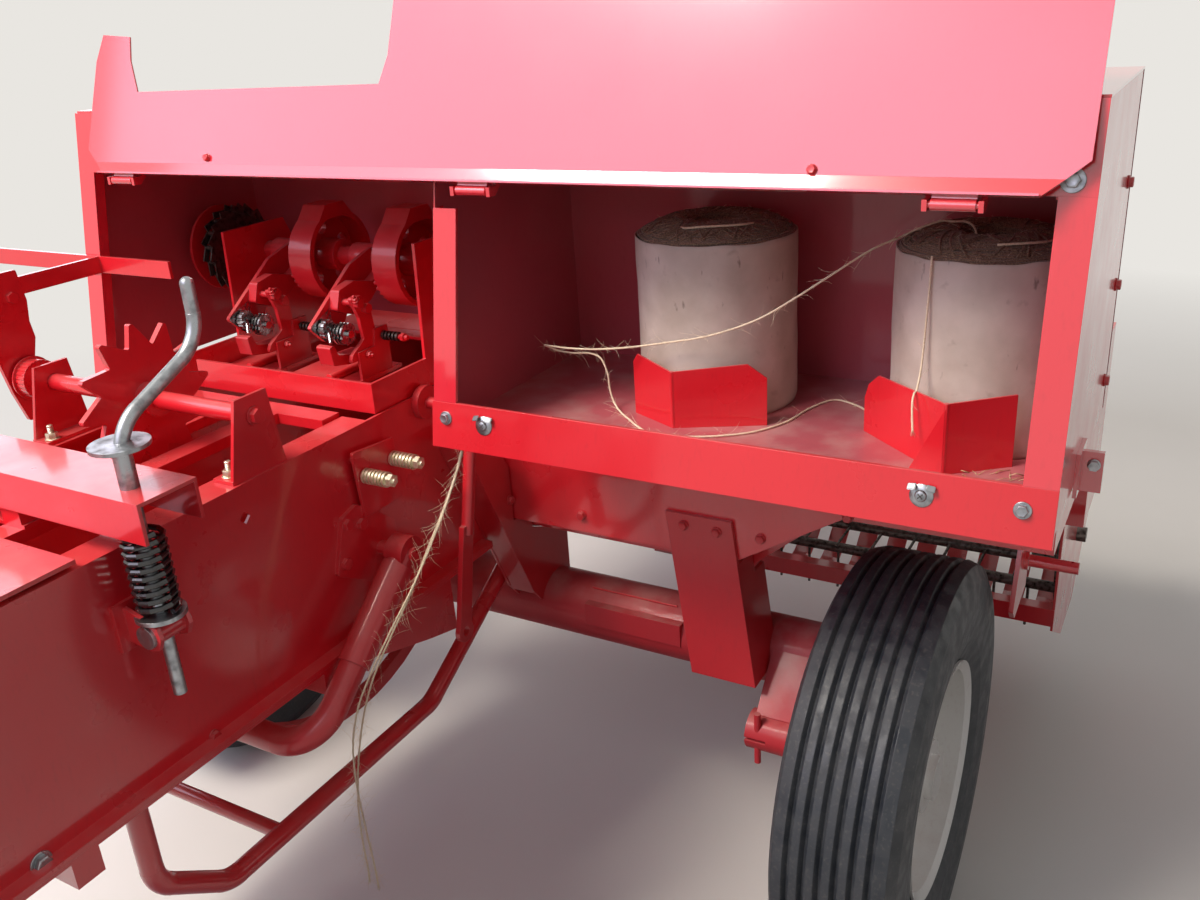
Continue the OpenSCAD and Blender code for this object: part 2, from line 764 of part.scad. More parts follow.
// Outline of the feed chamber drawn in by t, with its floor at a height
function feed_outline(z, t) = [
    [chamber_r + 1 - t, z + t], [-290 - t / 2, z + t], [-100 - t / 2, arch_z + t],
    [feed_right - t, arch_z + t], [feed_right - t, box_floor_z - 8 - t],
    [chamber_r + 1 - t, box_floor_z - 8 - t]
];
lever_x = 130;
lever_y = 318;
lever_z = 640;
lever_d = 22;
module feed_chamber() {
    t = plate_t;
    r = feed_right;

    color("#A8151B") difference() {
        union() {
            xz_plate(feed_step, feed_l, feed_outline(feed_z, 0));
            xz_plate(0, feed_step + t, feed_outline(back_z, 0));
            bx(chamber_r + 1, r, 440, feed_l, feed_z, box_floor_z - 8);
        }
        xz_plate(feed_step + t, feed_l + 1, feed_outline(feed_z, t));
        xz_plate(t, feed_step + t + 1, feed_outline(back_z, t));
        bx(chamber_r, r - t, 440 + t, feed_l + 1, feed_z + t, box_floor_z - 8 - t);
    }
    // Side plate and stub shaft under the right end
    color("#A8151B") {
        yz_plate(lever_x, lever_x + 8, rounded([
            [262, arch_z + 2], [268, 701], [219, 584], [240, 562], [345, 575], [362, arch_z + 2]
        ], 4));
        difference() {
            x_rod(lever_x, lever_x + 96, lever_y, lever_z, lever_d);
            translate([lever_x + 84, lever_y, lever_z - 20])
                cylinder(d = 6, h = 40, $fn = 24);
        }
        x_rod(lever_x - 6, lever_x + 14, lever_y, lever_z, lever_d + 14);
    }
    color("#A8151B") {
        for (x = [pickup_l + 65, pickup_r - 20])
            difference() {
                yz_plate(x, x + 8, [
                    [feed_l - 60, feed_z], [feed_l, feed_z], [pickup_pivot_y + 26, feed_z - 4],
                    [pickup_pivot_y + 26, pickup_pivot_z - 26], [pickup_pivot_y - 30, pickup_pivot_z - 26]
                ]);
                x_rod(x - 1, x + 9, pickup_pivot_y, pickup_pivot_z, 34 + 2 * pin_gap);
            }
        for (x = [pickup_l + 22, pickup_r - 30])
            difference() {
                yz_plate(x, x + 8, [
                    [feed_l - t, box_floor_z - 8 - t], [feed_l - t, guard_z - 40], [guard_y, guard_z - 22],
                    [guard_y + 22, guard_z], [guard_y + 22, guard_z + 14], [guard_y, box_floor_z - 12]
                ]);
                x_rod(x - 1, x + 9, guard_y, guard_z, 26 + 2 * pin_gap);
            }
    }
}

// Feeder bar with its packing fingers, under the top of the feed chamber
module feeder_fork() {
    color("#B3151B") {
        bar_under = box_floor_z - 8 - plate_t - 57;
        bx(chamber_r + 60, feed_right - plate_t, 340, 400, bar_under, bar_under + 57);
        for (k = [1 : 3]) {
            x = chamber_r - 35 + k * 200;
            yz_plate(x - 10, x + 10, [
                [350, bar_under + 5], [390, bar_under + 5], [360, 850], [300, 745], [290, 748],
                [330, 850]
            ]);
        }
    }
}

// Knotters

frame_y0 = -262;
knotter_y = 0;
module knotter_frame() {
    edge_z = knotter_z + 56;
    color("#C4161C") difference() {
        union() {
            // Tray over the chamber with a turned-up edge at the back
            bx(chamber_l + 2, chamber_r - 7, frame_y0, -40, top_z, top_z + 8);
            bx(chamber_l + 50, chamber_r - 7, frame_y0, frame_y0 + 6, top_z, top_z + 52);
            // Side plates that carry the shaft
            for (x = [chamber_r - 13, chamber_l + 2])
                yz_plate(x, x + 6, [
                    [frame_y0, top_z], [-6, top_z], [-6, top_z + 8], [130, top_z + 8],
                    [130, top_z + 60], [45, edge_z], [-110, edge_z], [-118, top_z + 52],
                    [frame_y0, top_z + 52]
                ]);
            bx(chamber_l + 2, chamber_r - 7, 90, 130, top_z + 8, top_z + 14);
            // Twine fingers on the tray
            for (x = [twine_x[0] - 50, twine_x[1] - 50])
                rod([x, -175, top_z + 14], [x, -60, top_z + 14], 16);
        }
        x_rod(chamber_l - 10, chamber_r + 10, knotter_y, knotter_z, knotter_d + 2 * pin_gap);
        for (x = needle_x)
            bx(x - slot_w / 2, x + slot_w / 2, -215, -39, top_z - 1, top_z + 9);
    }
}

// One knotter: sleeve and frame on the shaft, pinion, twine discs, arm and spring
module knotter(x) {
    kz = knotter_z;
    color("#C4161C") {
        difference() {
            union() {
                x_rod(x - 104, x + 3, knotter_y, kz, knotter_d + 14);
                // Slanted plate from the sleeve down to the discs
                yz_plate(x - 58, x - 50, rounded([
                    [16, kz + 14], [-20, kz + 22], [-81, kz + 4], [-202, kz - 82],
                    [-170, kz - 114], [-128, kz - 112], [-100, kz - 72], [-60, kz - 44],
                    [10, kz - 20]
                ], 4, 2));
                // Housing with a curved top
                yz_plate(x - 50, x - 30, rounded([
                    [-150, kz - 62], [-138, kz - 28], [-98, kz - 20], [-50, kz - 32],
                    [-14, kz - 14], [-8, kz - 24], [-60, kz - 64], [-112, kz - 78]
                ], 5));
            }
            x_rod(x - 105, x + 4, knotter_y, kz, knotter_d + 2 * pin_gap);
            rotate([15, 0, 0]) translate([x - 84, 0, 0]) cylinder(d = 8, h = 3 * kz, $fn = 24);
        }
        // Curved casting under the discs, and its bolt
        yz_plate(x - 50, x - 18, rounded([
            [-195, kz - 116], [-190, kz - 150], [-150, kz - 158], [-108, kz - 158],
            [-106, kz - 142], [-150, kz - 140], [-176, kz - 134], [-183, kz - 114]
        ], 3));
        x_rod(x - 50, x + 3, -118, kz - 150, 14);
        // Arm with its two bolts
        yz_plate(x - 9, x - 1, rounded([
            [-145, kz - 38], [-116, kz - 40], [-98, kz - 60], [-92, kz - 110],
            [-104, kz - 150], [-165, kz - 152], [-158, kz - 138], [-124, kz - 118],
            [-128, kz - 78]
        ], 4));
        for (p = [[-131, -50], [-112, -64]]) {
            x_rod(x - 32, x + 4, p[0], kz + p[1], 12);
            x_hex(x - 1, x + 9, p[0], kz + p[1], 19);
        }
        // Upright that stands on the tray and carries the stud of the spring
        yz_plate(x - 3, x + 3, [
            [-147, top_z + 8], [-64, top_z + 8], [-64, kz - 106], [-98, kz - 106],
            [-104, kz - 136], [-147, kz - 136]
        ]);
        x_rod(x + 3, x + 62, -80, kz - 122, 9);
        x_hex(x + 48, x + 55, -80, kz - 122, 16);
    }
    color("#8F9296") {
        for (k = [0 : 4]) x_rod(x + 6 + 8 * k, x + 10 + 8 * k, -80, kz - 122, 17);
        x_rod(x - 50, x - 36, -170, kz - 90, 12);
        toothed(x - 48, x - 36, -170, kz - 90, 17, 9, 6);
        x_rod(x - 50, x - 8, -148, kz - 103, 14);
        for (k = [0 : 2])
            toothed(x - 34 + 8 * k, x - 30 + 8 * k, -148, kz - 103, 20, 4, 10);
        // Bill hook
        bent_rod([
            [x - 40, -170, kz - 90], [x - 26, -182, kz - 94], [x - 18, -190, kz - 108]
        ], 7, 6);
    }
}
module knotter_right() { knotter(twine_x[0]); }
module knotter_left() { knotter(twine_x[1]); }

// One cam disc: rim, holed web, hub, cam on the rim and teeth on the face
module cam_disc(x) {
    cam_h = 16;
    at_shaft = [0, knotter_z];
    difference() {
        x_rod(x + 4, x + 58, knotter_y, knotter_z, 2 * cam_r);
        x_rod(x + 18, x + 59, knotter_y, knotter_z, 2 * cam_r - 20);
        for (k = [0 : 4])
            translate([0, knotter_y, knotter_z]) rotate([72 * k + 20, 0, 0])
                x_rod(x, x + 30, cam_r * 0.6, 0, 26);
    }
    x_rod(x + 4, x + 64, knotter_y, knotter_z, 60);
    yz_plate(x + 4, x + 58, [
        for (p = [
            [cam_r, 58], [cam_r + cam_h, 76], [cam_r + cam_h, 104], [cam_r, 122],
            [cam_r - 8, 110], [cam_r - 8, 70]
        ]) at_shaft + p[0] * [cos(p[1]), sin(p[1])]
    ]);
    for (k = [0 : 7])
        translate([x - 3, knotter_y, knotter_z]) rotate([200 + 9 * k, 0, 0])
            translate([0, cam_r - 22, -2.5]) cube([8, 20, 5]);
}

// Shaft with the two cam discs, the sprocket and its chain
chain_x = chamber_l - 79;
module knotter_shaft() {
    links = 16;
    link_r = 72;
    color("#C4161C") {
        x_rod(chain_x - 50, chamber_r + 34, knotter_y, knotter_z, knotter_d);
        for (x = twine_x) cam_disc(x);
        x_rod(chain_x - 46, chain_x - 40, knotter_y, knotter_z, 2 * link_r + 24);
    }
    color("#3A3536") {
        toothed(chain_x - 4, chain_x + 4, knotter_y, knotter_z, link_r, links, 12);
        for (k = [0 : links - 1])
            translate([0, knotter_y, knotter_z]) rotate([(k + 0.5) * 360 / links, 0, 0]) {
                x_rod(chain_x - 11, chain_x + 11, link_r, 0, 9);
                for (x = [chain_x - 11, chain_x + 8])
                    translate([x, link_r - 6, -1]) rotate([-180 / links, 0, 0])
                        cube([3, 12, 30]);
            }
    }
}

// Lift rod of the needles, open at its lower eye
rod_x = chamber_r + 105;
module needle_rod() {
    color("#C4161C") {
        difference() {
            union() {
                x_rod(rod_x - 8, rod_x + 8, -150, 985, 44);
                rod([rod_x, -150, 985], [rod_x, -200, 771], 22);
                yz_plate(rod_x - 5, rod_x + 5, [
                    [-186, 790], [-214, 790], [-256, 610], [-224, 602]
                ]);
                x_rod(rod_x - 5, rod_x + 5, -240, 600, 40);
            }
            x_rod(rod_x - 9, rod_x + 9, -150, 985, 20 + 2 * pin_gap);
            x_rod(rod_x - 9, rod_x + 9, -240, 600, 18);
        }
        // Crank arm that the rod hangs from, outside the chamber
        x_rod(chamber_r + seat_gap, rod_x + 12, -150, 985, 20);
        x_rod(chamber_r + seat_gap, chamber_r + 14, -150, 985, 60);
    }
}

// Needle yoke

yoke_y = -yoke_back;
yoke_home = 220;
needle_tip = 331;
yoke_x = 55;
module needle_yoke() {
    ty = yoke_y + needle_r * cos(yoke_home);
    tz = yoke_z + needle_r * sin(yoke_home);
    color("#D01C22") difference() {
        union() {
            for (s = [[chamber_r, 1], [chamber_l, -1]]) {
                a = s[0] + s[1] * yoke_x;
                x_rod(a - 18, a + 18, yoke_y, yoke_z, 60);
                // Socket that the bent tube slides into
                to = [0, cos(yoke_home), sin(yoke_home)];
                rod([a, yoke_y, yoke_z] + 25 * to, [a, yoke_y, yoke_z] + 200 * to, yoke_d + 9);
            }
            ar = chamber_r + yoke_x;
            al = chamber_l - yoke_x;
            bent_rod([
                [ar, yoke_y, yoke_z], [ar, ty, tz], [al, ty, tz], [al, yoke_y, yoke_z]
            ], yoke_d, 75);
            for (x = needle_x) needle(x);
        }
        for (s = [[chamber_r, 1], [chamber_l, -1]])
            x_rod(s[0] + s[1] * yoke_x - 40, s[0] + s[1] * yoke_x + 40, yoke_y, yoke_z,
                  yoke_pin_d + 2 * pin_gap);
    }
}

// One needle: an arc about the yoke pivots that tapers to its tip
module needle(x) {
    translate([x - needle_w / 2, yoke_y, yoke_z]) rotate([90, 0, 90]) linear_extrude(needle_w)
        polygon(concat(
            [for (a = [yoke_home - 6 : 7 : needle_tip]) (needle_r + 14) * [cos(a), sin(a)]],
            [needle_r * [cos(needle_tip), sin(needle_tip)]],
            [for (a = [needle_tip - 5 : -7 : yoke_home - 6]) (needle_r - 14) * [cos(a), sin(a)]]
        ));
}

// Hoops that guard the needles at rest, welded under the chamber and the case
hoop_inset = 25;
hoop_front = 160;
hoop_z = 390;
module needle_guard() {
    color("#C4161C") {
        for (x = [chamber_r - hoop_inset, chamber_l + hoop_inset])
            bent_rod([
                [x, hoop_front, floor_z - plate_t], [x, hoop_front, 600], [x, -210, hoop_z],
                [x, -715, hoop_z], [x, -829, 484], [x, -829, floor_z - plate_t]
            ], hoop_d);
        rod([chamber_l + hoop_inset, -600, hoop_z], [chamber_r - hoop_inset, -600, hoop_z], 25);
    }
}

// Twine box and hood

box_left = -650;
box_front_y = 135;
module twine_box() {
    color("#D81E25") {
        difference() {
            bx(box_left, hood_right, post_foot_y, box_front_y, box_floor_z - 4, roof_z);
            bx(box_left + sheet_t, hood_right - sheet_t, post_foot_y - 1, box_front_y - sheet_t,
               box_floor_z, roof_z + 1);
            // Slope of the sides behind the posts
            yz_plate(box_left - 1, hood_right + 1, [
                [post_foot_y - 9, box_floor_z - 10], [post_foot_y - 9, roof_z + 1],
                [post_y(roof_z + 1), roof_z + 1], [post_y(box_floor_z - 10), box_floor_z - 10]
            ]);
        }
        // Rail across the back
        yz_plate(box_left, hood_right, [
            [post_y(990) - 5, 990], [post_y(1060) - 5, 1060],
            [post_y(1060), 1060], [post_y(990), 990]
        ]);
    }
}

// Height of the header's lower edge over the opening
header_z = 1380;

// Posts of the hood: right end, left of the twine box, left end
module hood_posts() {
    lean_t = 5;
    color("#E02027") {
        for (p = [
            [hood_right - post_w, post_w, 1060, header_z],
            [box_left + sheet_t, 41, 1060, 1342],
            [-hood_left, post_w, top_z, header_z]
        ]) {
            yz_plate(p[0], p[0] + p[1], [
                [post_y(p[2]) - lean_t, p[2]], [post_y(p[3]) - lean_t, p[3]],
                [post_y(p[3]), p[3]], [post_y(p[2]), p[2]]
            ]);
            // Edge folded forward along the opening
            edge = p[0] < mid_x ? p[0] + p[1] - 3 : p[0];
            yz_plate(edge, edge + 3, [
                [post_y(p[2]) - 1, p[2]], [post_y(p[3]) - 1, p[3]],
                [post_y(p[3]) + 16, p[3]], [post_y(p[2]) + 16, p[2]]
            ]);
        }
        // Left end sheet, from the post to the front of the hood
        yz_plate(-hood_left, -hood_left + sheet_t, [
            [post_y(top_z), top_z], [post_y(roof_z), roof_z], [150, roof_z], [150, top_z]
        ]);
        // Lid catch: a foot on the side sheet and a bored lug
        bx(hood_right, hood_right + 5, -165, -105, 990, 1050);
        difference() {
            bx(hood_right, plan_right, -138, -130, 990, 1045);
            translate([plan_right - 11, -125, 1028]) rotate([90, 0, 0])
                cylinder(d = 11, h = 20, $fn = 32);
        }
    }
}

// Roof, header over the opening, front sheet over the drive
module hood_roof() {
    y0 = post_y(roof_z);
    color("#D81E25") {
        bx(-hood_left, hood_right, y0, 150, roof_z, roof_z + sheet_t);
        yz_plate(-hood_left, hood_right, [
            [post_y(header_z) - 5, header_z], [y0 - 5, roof_z], [y0, roof_z],
            [post_y(header_z), header_z]
        ]);
        // Ears and pins of the lid's hinges
        for (x = hinge_x) {
            for (e = [x - 34, x + 28])
                yz_plate(e, e + 6, [
                    [hinge_y - 7, hinge_z - 7], [hinge_y - 7, hinge_z + 6],
                    [hinge_y + 10, hinge_z + 6], [post_y(header_z + 20) - 5, header_z + 20],
                    [post_y(header_z) - 5, header_z], [hinge_y + 7, hinge_z - 7]
                ]);
            x_rod(x - 34, x + 34, hinge_y, hinge_z, 8);
        }
        // Front sheet
        bx(-hood_left, hood_right, 150, 150 + sheet_t, case_top_z + 34, roof_z + sheet_t);
        bx(-640, hood_right, 150, 150 + sheet_t, box_floor_z - 8, roof_z);
    }
}

// Lid, shown open, leaning on the roof's edge

hinge_y = -272;
hinge_z = 1372;
hinge_x = [-1300, -560, 100];
lid_open = 18.5;
lid_t = 3;
// Distance from the hinge line at which the panel starts
lid_v0 = 10;
module lid() {
    color("#E8333C")
        translate([0, hinge_y, hinge_z]) rotate([-lid_open, 0, 0]) difference() {
            union() {
                translate([0, lid_t / 2, 0]) rotate([90, 0, 0]) linear_extrude(lid_t)
                    polygon([
                        [-1397, 51], [-1353, lid_v0], [190, lid_v0], [236, 50], [236, lid_l],
                        [-724, lid_l], [-731, 191], [-744, 150], [-1275, 148], [-1297, 200],
                        [-1302, 240], [-1371, 246], [-1386, 201]
                    ]);
                // Lip turned to the rear
                bx(-1353, 190, -14, lid_t / 2, lid_v0, lid_v0 + 3);
                // Knuckles on the hinge line
                for (x = hinge_x) {
                    x_rod(x - 25, x + 25, 0, 0, 14);
                    bx(x - 25, x + 25, -lid_t / 2, lid_t / 2, 5, lid_v0 + 2);
                }
            }
            for (x = hinge_x) x_rod(x - 30, x + 30, 0, 0, 8 + 2 * pin_gap);
        }
}

module twine_ball(x, y) {
    color("#B9A79C") difference() {
        union() {
            translate([x, y, box_floor_z + seat_gap]) cylinder(d = ball_d, h = ball_h, $fn = 96);
            translate([x, y, box_floor_z + seat_gap + ball_h])
                cylinder(d1 = ball_d, d2 = ball_d * 0.6, h = 24, $fn = 96);
        }
        translate([x, y, box_floor_z + ball_h * 0.55]) cylinder(d = 70, h = ball_h, $fn = 48);
    }
}
ball_right = [97, -14];
ball_left = [-308, -4];
module twine_ball_right() { twine_ball(ball_right[0], ball_right[1]); }
module twine_ball_left() { twine_ball(ball_left[0], ball_left[1]); }

// An upright plate on the box floor from p to q, with its top outline by distance
// along the plate and height
module stop_panel(p, q, top) {
    v = q - p;
    l = norm(v);
    translate([p[0], p[1], box_floor_z]) rotate([0, 0, atan2(v[1], v[0])])
        xz_plate(-stop_t, 0, concat([[l, 0], [0, 0]], [for (t = top) [t[0] * l, t[1]]]));
}

// Bent plates on the box floor that keep the balls in place
stop_t = 3;
module ball_stops() {
    color("#D81E25") {
        stop_panel([-394, -126], [-312, -166], [[0, 84], [0.12, 98], [1, 88]]);
        stop_panel([-312, -166], [-186, -107], [[0, 88], [0.8, 96], [1, 74]]);
        stop_panel([-46, -79], [90, -194], [[0, 52], [0.05, 74], [0.18, 93], [1, 98]]);
        stop_panel([90, -194], [165, -136], [[0, 98], [1, 100]]);
        // The bends between the panels, and a gusset at the right one
        for (c = [[-312, -166, 88], [90, -194, 98]])
            translate([c[0], c[1], box_floor_z]) cylinder(r = stop_t + 0.6, h = c[2], $fn = 24);
        stop_panel([46, -188], [90, -195], [[0, 0], [1, 92]]);
    }
}

// Twine, each end as it was cut. The routes' points are chosen by hand.
twine_d = 3;
twine_guide_route = [
    [80, -14, 1190], [80, -14, 1225], [80, -14, 1262], [77, -15, 1288], [70, -16, 1300],
    [60, -19, 1304], [48, -22, 1304], [32, -27, 1305], [10, -37, 1298], [-16, -52, 1286],
    [-48, -78, 1272],
    [-90, -116, 1244], [-135, -138, 1213], [-178, -149, 1186], [-225, -152, 1165],
    [-271, -150, 1149], [-318, -150, 1138], [-365, -151, 1128], [-405, -153, 1121],
    [-450, -153, 1115], [-495, -149, 1111], [-532, -140, 1108], [-558, -124, 1103],
    [-562, -106, 1094], [-546, -97, 1086], [-518, -99, 1086], [-488, -106, 1091],
    [-462, -114, 1088], [-448, -119, 1066], [-443, -122, 1038], [-430, -130, 1018],
    [-395, -160, 1013], [-330, -204, 1012], [-261, -192, 1012], [-198, -152, 1012],
    [-163, -94, 1012], [-150, -30, 1012], [-128, 22, 1012], [-92, 14, 1012],
    [-62, -14, 1012], [-54, -56, 1012]
];
twine_near_route = [
    [-622, -270, 1005.7], [-623, -276, 985], [-626, -292, 950], [-633, -322, 900],
    [-643, -358, 845], [-654, -402, 788], [-667, -448, 735], [-682, -488, 680],
    [-697, -514, 628], [-706, -530, 575], [-709, -537, 520], [-709, -539, 455],
    [-707, -538, 390], [-704, -537, 330], [-702, -538, 275]
];
twine_far_route = [
    [-628, -264, 1005.7], [-629, -271, 982], [-634, -290, 938], [-642, -324, 884],
    [-649, -366, 832], [-658, -410, 772], [-672, -452, 716], [-688, -484, 660],
    [-700, -504, 605], [-707, -520, 548], [-712, -531, 490], [-716, -538, 430],
    [-714, -543, 370], [-711, -545, 318], [-712, -546, 290]
];
twine_end_route = [
    [47, -131, 1281], [46, -131, 1242], [45, -133, 1208], [44, -135, 1170],
    [43, -140, 1134], [42, -153, 1108], [41, -162, 1105], [41, -169, 1095], [43, -175, 1078],
    [46, -180, 1058]
];
module twine_to_guide() { color("#D8B98A") swept(twine_guide_route, twine_d); }
module twine_strand_near() { color("#D8B98A") swept(twine_near_route, twine_d); }
module twine_strand_far() { color("#D8B98A") swept(twine_far_route, twine_d); }
module twine_loose_end() { color("#D8B98A") swept(twine_end_route, twine_d); }

// Pickup

pickup_l = chamber_r + 28;
pickup_r = 165;
pickup_pivot_y = feed_l + 40;
pickup_pivot_z = feed_z - 20;
band_count = floor((pickup_r - pickup_l - 60) / tine_pitch);
band_x0 = pickup_l + 30;

module pickup_frame() {
    color("#C4161C") {
        for (x = [pickup_l, pickup_r - 5])
            difference() {
                yz_plate(x, x + 5, [
                    [pickup_pivot_y - 32, beam_z - 30], [reel_y - 120, reel_z - 200],
                    [reel_y + 60, reel_z - 200], [reel_y + 250, reel_z - 40],
                    [reel_y + 270, reel_z + 60], [reel_y + 120, reel_z + 240],
                    [pickup_pivot_y - 20, pickup_pivot_z + 45]
                ]);
                x_rod(x - 1, x + 6, reel_y, reel_z, 34 + 2 * pin_gap);
            }
        x_rod(pickup_l, pickup_r, pickup_pivot_y, pickup_pivot_z, 34);
        bx(pickup_l, pickup_r, pickup_pivot_y - 32, pickup_pivot_y - 2, beam_z - 20, beam_z + 20);
    }
}

// Curved bands between the tines, as arcs with a straight tail at each end
beam_z = reel_z - 60;
module stripper_bands() {
    t = 2;
    color("#D81E25")
        for (i = [0 : band_count])
            translate([band_x0 + i * tine_pitch - 24, 0, 0]) rotate([90, 0, 90])
                linear_extrude(48)
                    polygon(concat(
                        [[pickup_pivot_y, pickup_pivot_z + 20],
                         [pickup_pivot_y, pickup_pivot_z + 17.7]],
                        [for (a = [105 : -15 : -105])
                            [reel_y + band_r * cos(a), reel_z + band_r * sin(a)]],
                        [[pickup_pivot_y - 2, beam_z], [pickup_pivot_y - 2, beam_z - t]],
                        [for (a = [-105 : 15 : 105])
                            [reel_y + (band_r + t) * cos(a), reel_z + (band_r + t) * sin(a)]]
                    ));
}

module pickup_reel() {
    bar_r = 150;
    color("#6E7072") {
        x_rod(pickup_l - 20, pickup_r + 20, reel_y, reel_z, 34);
        for (x = [pickup_l + 12, pickup_r - 22]) x_rod(x, x + 8, reel_y, reel_z, 2 * bar_r + 40);
        for (k = [0 : 3])
            translate([0, reel_y, reel_z]) rotate([k * 90, 0, 0]) {
                x_rod(pickup_l + 12, pickup_r - 14, bar_r, 0, 26);
                for (i = [0 : band_count - 1])
                    translate([band_x0 + (i + 0.5) * tine_pitch, bar_r, 0])
                        rotate([-90, 0, 0]) cylinder(d = tine_d, h = tine_r - bar_r, $fn = 6);
            }
    }
}

// Wind guard: fingers that hold the crop down over the pickup
guard_y = feed_l + 30;
guard_z = 965;
module wind_guard() {
    color("#C4161C") {
        x_rod(pickup_l + 20, pickup_r - 20, guard_y, guard_z, 26);
        for (i = [1 : 2 : band_count])
            bent_rod([
                [band_x0 + i * tine_pitch, guard_y, guard_z],
                [band_x0 + i * tine_pitch, guard_y + 150, guard_z - 60],
                [band_x0 + i * tine_pitch, guard_y + 520, guard_z - 190]
            ], 10);
    }
}

// Front frame, gearbox and flywheel

module nose_frame() {
    color("#C4161C") difference() {
        union() {
            for (x = [mid_x - 120, mid_x + 110])
                yz_plate(x, x + 10, [
                    [760, floor_z - plate_t], [case_front, floor_z - plate_t],
                    [fly_y - 15, drive_z - fly_r - 15], [pivot_y + 60, bar_z + 100], [pivot_y + 60, bar_z - 100],
                    [pivot_y - 120, bar_z - 100], [1300, 520]
                ]);
            bx(mid_x - 120, mid_x + 120, pivot_y - 70, pivot_y + 60, bar_z + 90, bar_z + 100);
            bx(mid_x - 120, mid_x + 120, pivot_y - 70, pivot_y + 60, bar_z - 100, bar_z - 90);
            bx(mid_x - 120, mid_x + 120, case_front - 20, case_front + 60,
               floor_z - 60, floor_z - plate_t);
        }
        translate([mid_x, pivot_y, bar_z - 120])
            cylinder(d = 40 + 2 * pin_gap, h = 240, $fn = 48);
        // Room for the drawbar to swing
        bx(mid_x - 130, mid_x + 130, pivot_y - 20, pivot_y + 100, bar_z - 90, bar_z + 90);
    }
}

gear_l = 210;
gear_h = 320;
module gearbox() {
    color("#B3151B") difference() {
        union() {
            bx(mid_x - 120, mid_x + 120, case_front, case_front + gear_l,
               drive_z - gear_h / 2, drive_z + gear_h / 2);
            translate([mid_x, case_front + gear_l, drive_z]) rotate([-90, 0, 0])
                cylinder(d = 150, h = 50, $fn = 64);
            x_rod(mid_x - 190, mid_x - 120, case_front + gear_l / 2, drive_z + 60, 130);
            x_rod(mid_x + 120, mid_x + 150, case_front + gear_l / 2, drive_z + 60, 130);
        }
        translate([mid_x, case_front + 180, drive_z]) rotate([-90, 0, 0])
            cylinder(d = 45 + 2 * pin_gap, h = 100, $fn = 48);
    }
}

fly_y = case_front + 275;
module flywheel() {
    color("#D01C22") {
        translate([mid_x, case_front + 190, drive_z]) rotate([-90, 0, 0])
            cylinder(d = 45, h = pivot_y - case_front - 255, $fn = 48);
        translate([mid_x, fly_y, drive_z]) rotate([-90, 0, 0]) difference() {
            cylinder(r = fly_r, h = fly_w, $fn = 128);
            translate([0, 0, -1]) cylinder(r = fly_r - 55, h = 26, $fn = 96);
            translate([0, 0, fly_w - 25]) cylinder(r = fly_r - 55, h = 26, $fn = 96);
            for (a = [0 : 60 : 300])
                rotate([0, 0, a]) translate([165, 0, -1]) cylinder(r = 45, h = fly_w + 2, $fn = 48);
        }
        translate([mid_x, fly_y + fly_w - 26, drive_z]) rotate([-90, 0, 0])
            cylinder(d = 150, h = 60, $fn = 64);
        translate([mid_x, pivot_y - 70, drive_z]) yoke_form(1);
    }
}

// A drive shaft yoke: two ears along Y from a round base
module yoke_form(dir) {
    rotate([-90 * dir, 0, 0]) {
        cylinder(d = 70, h = 22, $fn = 48);
        for (s = [-1, 1]) translate([s * 28 - 7, -22, 20]) cube([14, 44, 52]);
    }
}

// Long case over the knotter drive, on the left of the machine
module knotter_chain_case() {
    color("#D81E25") difference() {
        yz_plate(chain_x - 23, chain_x + 23, [
            [170, case_top_z + 30], [170, knotter_z + 60], [240, knotter_z + 70],
            [case_front + 150, 1050], [case_front + 190, 960], [case_front + 120, 880],
            [case_front - 200, 900]
        ]);
        yz_plate(chain_x - 20, chain_x + 24, [
            [160, case_top_z + 36], [160, knotter_z + 54], [240, knotter_z + 63],
            [case_front + 146, 1044], [case_front + 182, 960], [case_front + 117, 886],
            [case_front - 199, 906]
        ]);
    }
}

// Drawbar

clevis_gap = 60;
stand_y = hitch_y - 520;
module drawbar() {
    h = bar_w / 2;
    color("#C4161C") {
        difference() {
            union() {
                bx(mid_x - h, mid_x + h, pivot_y - 50, hitch_y - 120, bar_z - h, bar_z + h);
                translate([mid_x, pivot_y, bar_z - 85]) cylinder(d = 90, h = 170, $fn = 64);
            }
            bx(mid_x - h + 6, mid_x + h - 6, pivot_y + 60, hitch_y - 121, bar_z - h + 6,
               bar_z + h - 6);
        }
        translate([mid_x, pivot_y, bar_z - 115]) cylinder(d = 40, h = 230, $fn = 48);
        // Stand with a saddle for the drive shaft's guard
        difference() {
            bx(mid_x - 45, mid_x + 45, stand_y - 10, stand_y + 10, bar_z + h, shaft_z(stand_y));
            translate(shaft_p) rotate([-90 - shaft_tilt, 0, 0])
                cylinder(d = 76 + 2 * seat_gap, h = shaft_len, $fn = 48);
        }
    }
}

module hitch_clevis() {
    color("#B3151B") difference() {
        union() {
            bx(mid_x - 40, mid_x + 40, hitch_y - 118, hitch_y + 20, bar_z + clevis_gap / 2,
               bar_z + clevis_gap / 2 + 22);
            bx(mid_x - 40, mid_x + 40, hitch_y - 118, hitch_y + 20, bar_z - clevis_gap / 2 - 22,
               bar_z - clevis_gap / 2);
            for (z = [bar_z + clevis_gap / 2, bar_z - clevis_gap / 2 - 22])
                translate([mid_x, hitch_y + 20, z]) cylinder(d = 80, h = 22, $fn = 48);
            bx(mid_x - 44, mid_x + 44, hitch_y - 120, hitch_y - 100, bar_z - 52, bar_z + 52);
        }
        translate([mid_x, hitch_y, bar_z - 80]) cylinder(d = hitch_bore, h = 160, $fn = 48);
    }
}

